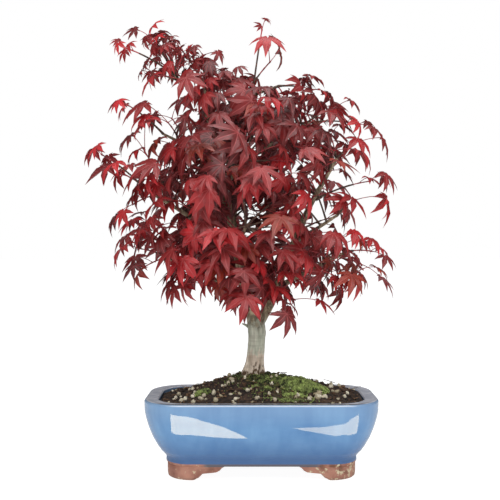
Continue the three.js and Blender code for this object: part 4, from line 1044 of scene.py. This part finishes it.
# leaves
leafRule = {
    "shootLength": 20, "pairSpacing": 0.6, "seed": 9931, "youngBelow": 17.5, "tries": 120, "clearance": 0.5,
    "nearStalk": 0.7, "crownAxis": (-28, 4),
    "lobeAngles": np.radians([-86, -43, 0, 43, 86]), "lobeLengths": np.array([0.68, 0.93, 1, 0.93, 0.68]),
}
drawn = leafRule["seed"]


def draw():
    # a whole number series that is the same wherever it is worked out: the last number times
    # 16807, as what is left over 2^31 - 1
    global drawn
    drawn = drawn * 16807 % 2147483647
    return drawn / 2147483647


def bladePoints(leaf, r, angle):
    # r from the stalk's end at an angle from the middle lobe, bent down along an arc: out by its
    # sine and down by 1 less its cosine
    turn = leaf["bend"] * r / leaf["size"]
    outwards = np.cos(angle)[..., None] * leaf["ahead"] + np.sin(angle)[..., None] * leaf["left"]
    along, drop = np.sin(turn) * leaf["size"] / leaf["bend"], (1 - np.cos(turn)) * leaf["size"] / leaf["bend"]
    return leaf["at"] + outwards * along[..., None] - leaf["normal"] * drop[..., None]


ballShares, ballWidths = np.array([0.3, 0.52, 0.76, 1.0]), np.array([0.1, 0.14, 0.08, 0.03])


def leafBalls(leaf):  # the balls that a leaf fills: along its stalk and along each lobe
    lengths = leaf["size"] * leafRule["lobeLengths"]
    stalk = leaf["root"] + np.array([0.4, 0.6, 0.8, 0.95])[:, None] * (leaf["at"] - leaf["root"])
    lobes = bladePoints(leaf, lengths[:, None] * ballShares,
                        np.repeat(leafRule["lobeAngles"][:, None], 4, axis=1))
    radii = lengths[:, None] * ballWidths + leafRule["clearance"]
    return np.vstack([stalk, lobes.reshape(-1, 3)]), np.concatenate([np.full(4, 1.4), radii.ravel()])


def hangsFree(leaf):  # whether a blade hangs clear of its own stalk
    back = unit(leaf["root"] - leaf["at"])
    lengths = leaf["size"] * leafRule["lobeLengths"]
    tips = bladePoints(leaf, lengths[:, None] * np.array([0.5, 1.0]),
                       np.repeat(leafRule["lobeAngles"][:, None], 2, axis=1))
    return (unit(tips - leaf["at"]) @ back < leafRule["nearStalk"]).all()


def tryLeaf(arch, size, at, side):
    # which way its stalk leaves the shoot, and how its blade hangs
    along = archSlope(arch, at)
    root = archPoint(arch, at) + along * (-0.6 + 0.2 * side)
    across = unit(np.cross(along, (0, 0, 1))) * side
    d = [draw() * 2 - 1 for i in range(9)]
    size = size * (1 + 0.16 * d[0])
    stalk = unit(across * 0.9 + along * (0.6 + 0.4 * d[1]) + np.array([0, 0, 0.3 + 0.5 * d[2]]))
    junction = root + stalk * size * (0.85 + 0.3 * d[3])
    outwards = unit(np.array([junction[0] - leafRule["crownAxis"][0],
                              junction[1] - leafRule["crownAxis"][1], 0]))
    ahead = unit(stalk * 0.5 + outwards * 0.35 + np.array([0.5 * d[5], 0.5 * d[6], -0.72 + 0.42 * d[4]]))
    normal = outwards * 0.65 + np.array([0.45 * d[6], 0.45 * d[7], 0.7 + 0.45 * d[5]])
    normal = unit(normal - ahead * (normal @ ahead))
    return {"root": root, "at": junction, "ahead": ahead, "normal": normal, "left": np.cross(normal, ahead),
            "size": size, "bend": 0.85 + 0.35 * d[8]}


class Crown:  # the room that is taken: balls, with the number of the shoot that may touch them
    def __init__(self):
        self.centres, self.radii, self.owners = np.zeros((0, 3)), np.zeros(0), np.zeros(0, int)

    def fill(self, centres, radii, owner):
        self.centres = np.vstack([self.centres, centres])
        self.radii = np.append(self.radii, np.broadcast_to(radii, len(centres)))
        self.owners = np.append(self.owners, np.full(len(centres), owner))

    def isClear(self, centres, radii, owner, share):  # centres lie further apart than a share of both radii
        others = self.owners != owner
        apart = np.linalg.norm(self.centres[others][None] - centres[:, None], axis=-1)
        return (apart > share * (self.radii[others][None] + radii[:, None])).all()


crown = Crown()
for name, (points, radii) in limbs.items():
    crown.fill(limbAt(name, np.arange(15) / 14), max(radii) * 0.8, -2)


def newSpray(name, branch, start, tip, size, count, young):
    # a shoot that arches to its tip: wood first, then a red end of fixed length
    arch = archTo(start, tip)
    woodEnd = max(0, 1 - leafRule["shootLength"] / arch[3])
    return {"name": name, "branch": branch, "arch": arch, "woodEnd": woodEnd, "size": size, "count": count,
            "young": young, "leaves": []}


sprays = []
for number, (name, branch, at, tip, size, count) in enumerate(shoots):
    spray = newSpray(name, branch, limbAt(branch, at), tip, size, count, size < leafRule["youngBelow"])
    crown.fill(archPoint(spray["arch"], np.arange(13) / 12), 1.6, number)
    sprays.append(spray)


def growLeaves(spray, number, tries, share):  # pairs of leaves from the tip back, each where it finds room
    for i in range(spray["count"]):
        at = 1 - i // 2 * leafRule["pairSpacing"] * (1 - spray["woodEnd"])
        for attempt in range(tries):
            leaf = tryLeaf(spray["arch"], spray["size"], at, -1 if i % 2 else 1)
            centres, radii = leafBalls(leaf)
            if hangsFree(leaf) and crown.isClear(centres, radii, number, share):
                leaf["young"], leaf["spread"] = float(spray["young"]), 1.0
                spray["leaves"].append(leaf)
                crown.fill(centres, radii, -1)
                break


for number, spray in enumerate(sprays):
    growLeaves(spray, number, leafRule["tries"], 1.0)
print("solid leaves grown again:", sum(len(spray["leaves"]) for spray in sprays))

# shoots that stand out at the edge of the crown, with the values of the list above
standing = [
    ("arch", "top_right", 0.66, (44, -4, 437), 20, 2),
    ("hangingLeft", "low_right_front", 0.5, (29, -26, 189), 16, 3),
    ("hangingRight", "right_leader", 0.1, (25, -14, 177), 14, 2),
    ("frontA", "low_front", 0.9, (-18, -66, 219), 29, 3),
    ("frontB", "low_front", 0.6, (-46, -52, 221), 27, 3), ("frontC", "low_left", 0.3, (-72, -30, 223), 25, 3),
    ("frontD", "low_front", 0.7, (4, -56, 216), 29, 3),
    ("frontE", "low_right_front", 0.8, (26, -44, 208), 22, 2),
    ("frontF", "low_front", 1, (-34, -76, 228), 29, 3), ("frontG", "low_front", 0.4, (-16, -34, 204), 24, 3),
    ("rightA", "low_right", 1, (112, -24, 232), 27, 3), ("rightB", "low_right", 0.8, (88, -28, 226), 27, 3),
    ("leftA", "low_left", 1, (-134, -10, 228), 27, 3), ("leftB", "low_left", 0.9, (-138, -4, 276), 26, 3),
    ("leftC", "mid_left", 0.9, (-144, -16, 300), 26, 3), ("frontH", "low_front", 0.95, (-8, -66, 212), 31, 3),
    ("frontI", "low_right_front", 0.8, (10, -54, 209), 30, 3),
    ("frontJ", "low_front", 0.5, (-2, -44, 204), 28, 3),
    ("rightC", "right_leader", 0.8, (74, -30, 336), 26, 3),
    ("rightD", "right_leader", 0.62, (58, -36, 308), 28, 3),
    ("rightE", "right_leader", 1, (78, -16, 378), 26, 3),
    ("rightF", "upper_right", 0.9, (62, -34, 386), 27, 3),
]
for name, branch, at, tip, size, count in standing:
    spray = newSpray(name, branch, limbAt(branch, at), tip, size, count, False)
    growLeaves(spray, -5, 60, 0.45)
    sprays.append(spray)
print("standing shoots:", len(standing))

# filling shoots: more sprays in the crown's room, each from the nearest wood
filling = {
    "seed": 4411, "tries": 6000, "leaves": 380, "reach": (14, 88), "share": 0.5, "lowest": 212,
    "highest": 484, "youngShare": 0.06,
    # the crown's left and right edge at each height, read from its outline, and how deep it is
    "heights": (196, 206, 218, 240, 262, 297, 318, 342, 376, 410, 430, 440, 450, 465, 484),
    "left": (-30, -50, -92, -134, -142, -134, -128, -114, -84, -70, -70, -82, -94, -120, -124),
    "right": (34, 56, 84, 112, 96, 52, 54, 66, 76, 60, 20, -22, -64, -84, -104),
    "depth": (20, 34, 60, 80, 90, 92, 92, 86, 76, 54, 40, 32, 26, 20, 10),
}
random = np.random.default_rng(filling["seed"])
woodPlaces, woodNames = [], []
for name in limbs:
    t = np.linspace(0.52, 1, 40) if name == "trunk" else np.linspace(0.25, 1, 16)
    woodPlaces.append(limbAt(name, t))
    woodNames += [name] * len(t)
woodPlaces = np.vstack(woodPlaces)
grown = 0
for attempt in range(filling["tries"]):
    z = random.uniform(filling["lowest"], filling["highest"])
    left, right, depth = (np.interp(z, filling["heights"], filling[key])
                          for key in ("left", "right", "depth"))
    u, v = random.uniform(-1, 1, 2)
    if u * u + v * v > 1:
        continue
    tip = np.array([(left + right) / 2 + u * (right - left) / 2, 4 + v * depth, z])
    apart = np.linalg.norm(woodPlaces + (0, 0, 6) - tip, axis=1)
    nearest = apart.argmin()
    if not filling["reach"][0] < apart[nearest] < filling["reach"][1]:
        continue
    size = random.uniform(26, 35) if z < 420 else random.uniform(17, 24)
    count, young = int(random.integers(2, 4)), random.uniform() < filling["youngShare"]
    spray = newSpray("fill", woodNames[nearest], woodPlaces[nearest], tip, size, count, young)
    growLeaves(spray, -5, 5, filling["share"])
    for leaf in spray["leaves"]:  # they hang more limply, half closed
        leaf["spread"], leaf["bend"] = random.uniform(0.62, 1), leaf["bend"] * random.uniform(1, 1.7)
    if spray["leaves"]:
        sprays.append(spray)
        grown += len(spray["leaves"])
    if grown >= filling["leaves"]:
        break
print("filling leaves:", grown, "on", len(sprays) - len(shoots), "shoots after", attempt, "places")

# wood
woodShapes = [trunkShape()]
for number, (name, parent, at, radii, points) in enumerate(branches):
    path = limbAt(name, np.linspace(0, 1, 14 * len(points)))
    woodShapes.append(limbShape(path, radii, 14, 0.6 if radii[0] > 4 else 0.5, 41 + number,
                                collar=0.35 * radii[0]))
for number, spray in enumerate(sprays):
    if spray["woodEnd"] > 0:
        path = archPoint(spray["arch"], np.linspace(0, spray["woodEnd"], 9))
        woodShapes.append(limbShape(path, (1.15, 0.9), 6, 0.15, 90 + number, collar=0.5))
stub = np.array([(-11, 0, 159), (-16.5, -0.3, 162.4), (-21.6, -0.6, 164.6)])
woodShapes.append(limbShape(smoothPath(stub, np.linspace(0, 1, 8)), (2.0, 1.4, 0.5), 10, 0.8, 7, collar=0.8))



def multiplied(tree, share, colour, over):  # a colour darkened by a share of a mottle
    return mixColour(tree, share, colour, over.outputs["Colour"], "MULTIPLY")


barkGrey, tree, surface = newMaterial("barkGrey", 0.82)
wander = addNode(tree, "ShaderNodeTexNoise",
                 {"Vector": placeInBox(tree, woodShapes), "Scale": 60.0, "Detail": 4.0}).outputs["Fac"]
shifted = worked(tree, "MULTIPLY_ADD", wander, 0.03, objectAxis(tree, "Z"))
# a tan foot, a grey-green middle and a brown, flecked upper part, with blots near the soil
olive = mottled(tree, shade(182, 186, 166), shade(224, 224, 206), 120, 0.3, 0.7, (1, 1, 0.35))
tan = mottled(tree, shade(208, 188, 168), shade(240, 226, 208), 140, 0.3, 0.7, (1, 1, 0.4))
brown = mottled(tree, shade(158, 138, 108), shade(214, 194, 160), 150, 0.35, 0.65, (1, 1, 0.7))
flecks = mottled(tree, shade(96, 74, 52), shade(255, 255, 250), 260, 0.4, 0.56, (1, 1, 0.5))
blots = mottled(tree, shade(110, 92, 72), shade(255, 255, 255), 330, 0.44, 0.58, (1, 1, 0.6))
bark = mixColour(tree, ranged(tree, shifted, 0.143, 0.149), tan.outputs["Colour"], olive.outputs["Colour"])
bark = mixColour(tree, ranged(tree, shifted, 0.176, 0.19, 0, 0.85), bark, brown.outputs["Colour"])
bark = mixColour(tree, ranged(tree, shifted, 0.168, 0.182, 0, 0.6), bark, multiplied(tree, 1.0, bark, flecks))
bark = mixColour(tree, ranged(tree, shifted, 0.127, 0.138, 1.0, 0.0), bark,
                 multiplied(tree, 1.0, bark, blots))
# level rings, scars on the knots, darker young twigs and long streaks
rings = mottled(tree, shade(255, 255, 255), shade(150, 134, 112), 90, 0.5, 0.6, (0.3, 0.3, 4))
bark = multiplied(tree, 0.18, bark, rings)
scars = mottled(tree, shade(255, 255, 255), shade(110, 76, 48), 110, 0.48, 0.6)
bark = mixColour(tree, attribute(tree, "rough"), bark, multiplied(tree, 1.0, bark, scars))
twig = mottled(tree, shade(62, 42, 38), shade(112, 82, 66), 300)
bark = mixColour(tree, ranged(tree, attribute(tree, "age"), 0.2, 0.7), twig.outputs["Colour"], bark)
streak = mottled(tree, shade(158, 152, 142), shade(255, 255, 255), 260, 0.3, 0.6, (1, 1, 0.12))
tree.links.new(multiplied(tree, 0.55, bark, streak), surface.inputs["Base Color"])
grained(tree, surface, 380, 0.0009, 0.7, (1, 1, 0.3))
makePiece("barkAndTwigs", woodShapes, [barkGrey], ["trunk_and_branches"])

# blades
lobeTable = {
    "angles": np.radians([-126, -86, -43, 0, 43, 86, 126]),
    "lengths": np.array([0.3, 0.68, 0.93, 1, 0.93, 0.68, 0.3]),
    "stations": (0.5, 0.76), "halfWidths": (0.15, 0.07), "notch": 0.28, "thickness": 0.55, "fold": 0.3,
}


def bladePattern():
    # the points and faces of every blade: each lobe has a raised middle line and two margins,
    # and its neighbours meet it at the notches; two like faces share the margins
    lobe, t, w, level, crease = [], [], [], [], []
    faces = []

    def point(ofLobe, along, out, face, sharp):
        lobe.append(ofLobe), t.append(along), w.append(out), level.append(face), crease.append(sharp)
        return len(lobe) - 1

    count = len(lobeTable["angles"])
    notches = [point(i - 0.5, lobeTable["notch"], 0, 0, 1) for i in range(count + 1)]
    centres = [point(3, 0, 0, face, 2) for face in (1, -1)]
    for i in range(count):
        small = i in (0, count - 1)
        tip = point(i, 1, 0, 0, 1)
        stations = () if small else list(zip(lobeTable["stations"], lobeTable["halfWidths"]))
        margins = {sign: [point(i, at, sign * half, 0, 1) for at, half in stations] for sign in (-1, 1)}
        for face, centre in zip((1, -1), centres):
            spine = [point(i, lobeTable["notch"] / max(lobeTable["lengths"][i], 0.5), 0, face, 2)]
            spine += [point(i, at, 0, face, 2) for at, half in stations]
            for sign in (-1, 1):
                edge = [notches[i + (sign > 0)], *margins[sign]]
                new = [[centre, spine[0], edge[0]]]
                new += [[spine[k], spine[k + 1], edge[k + 1], edge[k]] for k in range(len(spine) - 1)]
                new.append([spine[-1], tip, edge[-1]])
                flip = (sign < 0) == (face > 0)
                faces.extend(f[::-1] if flip else f for f in new)
    return [np.array(column, float) for column in (lobe, t, w, level, crease)], faces


(patternLobe, patternAlong, patternOut, patternLevel, patternCrease), patternFaces = bladePattern()
triangles = np.array([face for face in patternFaces if len(face) == 3])
quads = np.array([face for face in patternFaces if len(face) == 4])


def bladeShapes(leaves, random):
    # the pattern laid on every leaf at once: out along each lobe, bent down on an arc, with the
    # margins folded up from the middle line; each lobe's length and angle vary a little
    count = len(leaves)
    size, bend = (np.array([leaf[key] for leaf in leaves])[:, None] for key in ("size", "bend"))
    at, ahead, left, normal = (np.array([leaf[key] for leaf in leaves])[:, None]
                               for key in ("at", "ahead", "left", "normal"))
    whole = np.clip(np.round(patternLobe).astype(int), 0, 6)
    between = patternLobe % 1 > 0
    lowLobe = np.clip(np.floor(patternLobe).astype(int), 0, 6)
    highLobe = np.clip(np.ceil(patternLobe).astype(int), 0, 6)
    spread = np.array([leaf["spread"] for leaf in leaves])[:, None]
    angles = lobeTable["angles"] * spread + random.normal(size=(count, 7)) * 0.045
    lengths = lobeTable["lengths"] * (1 + random.normal(size=(count, 7)) * 0.05)
    angle = np.where(between, (angles[:, lowLobe] + angles[:, highLobe]) / 2, angles[:, whole])
    angle = np.where(patternLobe < 0, angles[:, :1] - 0.5,
                     np.where(patternLobe > 6, angles[:, -1:] + 0.5, angle))
    long = np.where(between, 1, lengths[:, whole])
    notchCut = np.where((patternLobe < 0) | (patternLobe > 6), 0.35,
                        np.where((patternLobe < 1) | (patternLobe > 5), 0.75, 1))
    x, y = patternAlong * long * size * np.where(between, notchCut, 1), patternOut * long * size
    r, angle = np.hypot(x, y), angle + np.arctan2(y, np.maximum(x, 1e-6))
    curl = bend * (1 + 0.18 * random.normal(size=(count, 7)))[:, whole]
    turn = curl * r / size
    outwards = np.cos(angle)[..., None] * ahead + np.sin(angle)[..., None] * left
    along, drop = (np.sin(turn) * size / curl)[..., None], ((1 - np.cos(turn)) * size / curl)[..., None]
    upward = normal * np.cos(turn)[..., None] + outwards * np.sin(turn)[..., None]
    thick = patternLevel * lobeTable["thickness"] / 2 * (1 - 0.6 * patternAlong)
    fold = np.abs(y) * lobeTable["fold"] + np.where(between, 0.05 * size, 0)
    points = at + outwards * along - normal * drop + upward * (thick + fold)[..., None]
    start = (np.arange(count) * len(patternLobe))[:, None, None]
    marks = {
        "rib": np.tile((patternCrease == 2).astype(float), count),
        "out": np.tile(patternAlong, count),
        "under": np.tile(np.where(patternLevel < 0, 1.0, 0.0), count),
        "crease": np.tile(patternCrease, count),
        "tone": np.repeat([leaf["tone"] for leaf in leaves], len(patternLobe)),
        "young": np.repeat([leaf["young"] for leaf in leaves], len(patternLobe)),
    }
    faces = [((triangles + start).reshape(-1, 3), 0), ((quads + start).reshape(-1, 4), 0)]
    return {"points": points.reshape(-1, 3), "faces": faces, "marks": marks}


def stalkShape(leaf):  # a thin bowed stalk from the shoot to its blade
    t = np.linspace(0, 1, 5)[:, None]
    bow = np.cross(leaf["at"] - leaf["root"], leaf["left"]) * 0.06 * np.sin(math.pi * t)
    path = leaf["root"] * (1 - t) + leaf["at"] * t + bow
    return tube(path, (0.55, 0.42, 0.4, 0.42, 0.5), 4, finish=1, tone=np.full(5, leaf["tone"]),
                young=np.full(5, leaf["young"]))


def shootShape(spray):
    # the red end of a shoot, with a bell-shaped swelling at each pair of leaves and a bud
    begin = spray["woodEnd"]
    t = np.linspace(begin, 1, 10)
    path = archPoint(spray["arch"], t)
    bud = path[-1] + archSlope(spray["arch"], 1) * 2.2
    path = np.vstack([path, bud])
    pairs = 1 - np.arange(2) * leafRule["pairSpacing"] * (1 - begin)
    swell = sum(np.exp(-(((t - pair) * spray["arch"][3] / 1.1) ** 2)) for pair in pairs)
    radius = np.append(0.72 + 0.35 * np.clip(swell, 0, 1), 0.25)
    return tube(path, radius, 6, finish=1, tone=np.full(11, 0.5), young=np.full(11, float(spray["young"])))


# how bright each leaf is: more at the outside, partly younger colour and partly painted light with painted
# shade inside the crown; more at the top; more low down and on the left as painted light; a few are orange
leafTone = {
    "seed": 9173, "least": 0.22, "outside": 0.26, "top": 0.05, "low": 0.1, "left": 0.08,
    "scatter": 0.18, "young": 0.2, "cap": 0.86, "lowCap": 0.6, "lowBelow": 225,
    "orangeShare": 0.07, "orange": (0.9, 1.0),
}
random = np.random.default_rng(leafTone["seed"])
for spray in sprays:
    for leaf in spray["leaves"]:
        x, y, z = leaf["at"]
        # the outside term is partly younger colour and partly painted light, with painted shade deep in the
        # crown
        outer = np.hypot((x - leafRule["crownAxis"][0]) / 130, (y - leafRule["crownAxis"][1]) / 95)
        high = (z - 160) / 320
        # painted light: leaves low down and on the left get a higher tone
        low = leafTone["low"] * np.clip((270 - z) / 60, 0, 1)
        low = low + leafTone["left"] * np.clip((-28 - x) / 100, 0, 1)
        tone = leafTone["least"] + leafTone["outside"] * outer + leafTone["top"] * high**2 + low
        tone = tone + leafTone["scatter"] * random.normal() + leafTone["young"] * leaf["young"]
        cap = leafTone["cap"] if z > leafTone["lowBelow"] else leafTone["lowCap"]
        leaf["tone"] = float(np.clip(tone, 0, cap))
        if random.uniform() < leafTone["orangeShare"] and not leaf["young"]:
            leaf["tone"] = random.uniform(*leafTone["orange"])

leafRed, tree, surface = newMaterial("leafRed", 0.46)
ramp = addNode(tree, "ShaderNodeValToRGB", {0: attribute(tree, "tone")})
stops = ((0.0, (80, 24, 24)), (0.25, (112, 28, 29)), (0.5, (150, 33, 34)), (0.7, (186, 30, 36)),
         (0.86, (206, 34, 42)),
         (0.92, (122, 54, 40)), (1.0, (168, 52, 32)))
for k, (position, colour) in enumerate(stops):
    stop = ramp.color_ramp.elements[k] if k < 2 else ramp.color_ramp.elements.new(position)
    stop.position, stop.color = position, shade(*colour)
patch = mottled(tree, shade(176, 168, 168), shade(255, 255, 255), 70, 0.3, 0.7)
blade = mixColour(tree, 0.6, ramp.outputs["Color"], patch.outputs["Colour"], "MULTIPLY")
vein = ranged(tree, attribute(tree, "rib"), 0.82, 0.97, 0, 0.45)
blade = mixColour(tree, vein, blade, shade(196, 92, 92))
below = mixColour(tree, 0.55, blade, shade(150, 84, 86))
blade = mixColour(tree, attribute(tree, "under"), blade, below)
tree.links.new(blade, surface.inputs["Base Color"])
grained(tree, surface, 700, 0.0003, 0.4)

stalkRed, tree, surface = newMaterial("stalkRed", 0.42)
stem = mottled(tree, shade(120, 30, 40), shade(176, 58, 62), 180)
bright = mixColour(tree, attribute(tree, "young"), stem.outputs["Colour"], shade(190, 60, 66))
tree.links.new(bright, surface.inputs["Base Color"])
grained(tree, surface, 900, 0.0002, 0.4)

nodesOf = {}
for name, branch, at, tip, size, count in shoots:
    nodesOf.setdefault(branch, []).append("spray_" + name)
for branch in sorted({spray["branch"] for spray in sprays}):
    own = [spray for spray in sprays if spray["branch"] == branch]
    leaves = [leaf for spray in own for leaf in spray["leaves"]]
    if not leaves:
        continue
    shapes = [bladeShapes(leaves, random), *map(stalkShape, leaves), *map(shootShape, own)]
    young = all(spray["young"] for spray in own)
    makePiece("leaves_" + branch, shapes, [leafRed, stalkRed],
              nodesOf.get(branch, []))

print("all pieces made")
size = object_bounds()
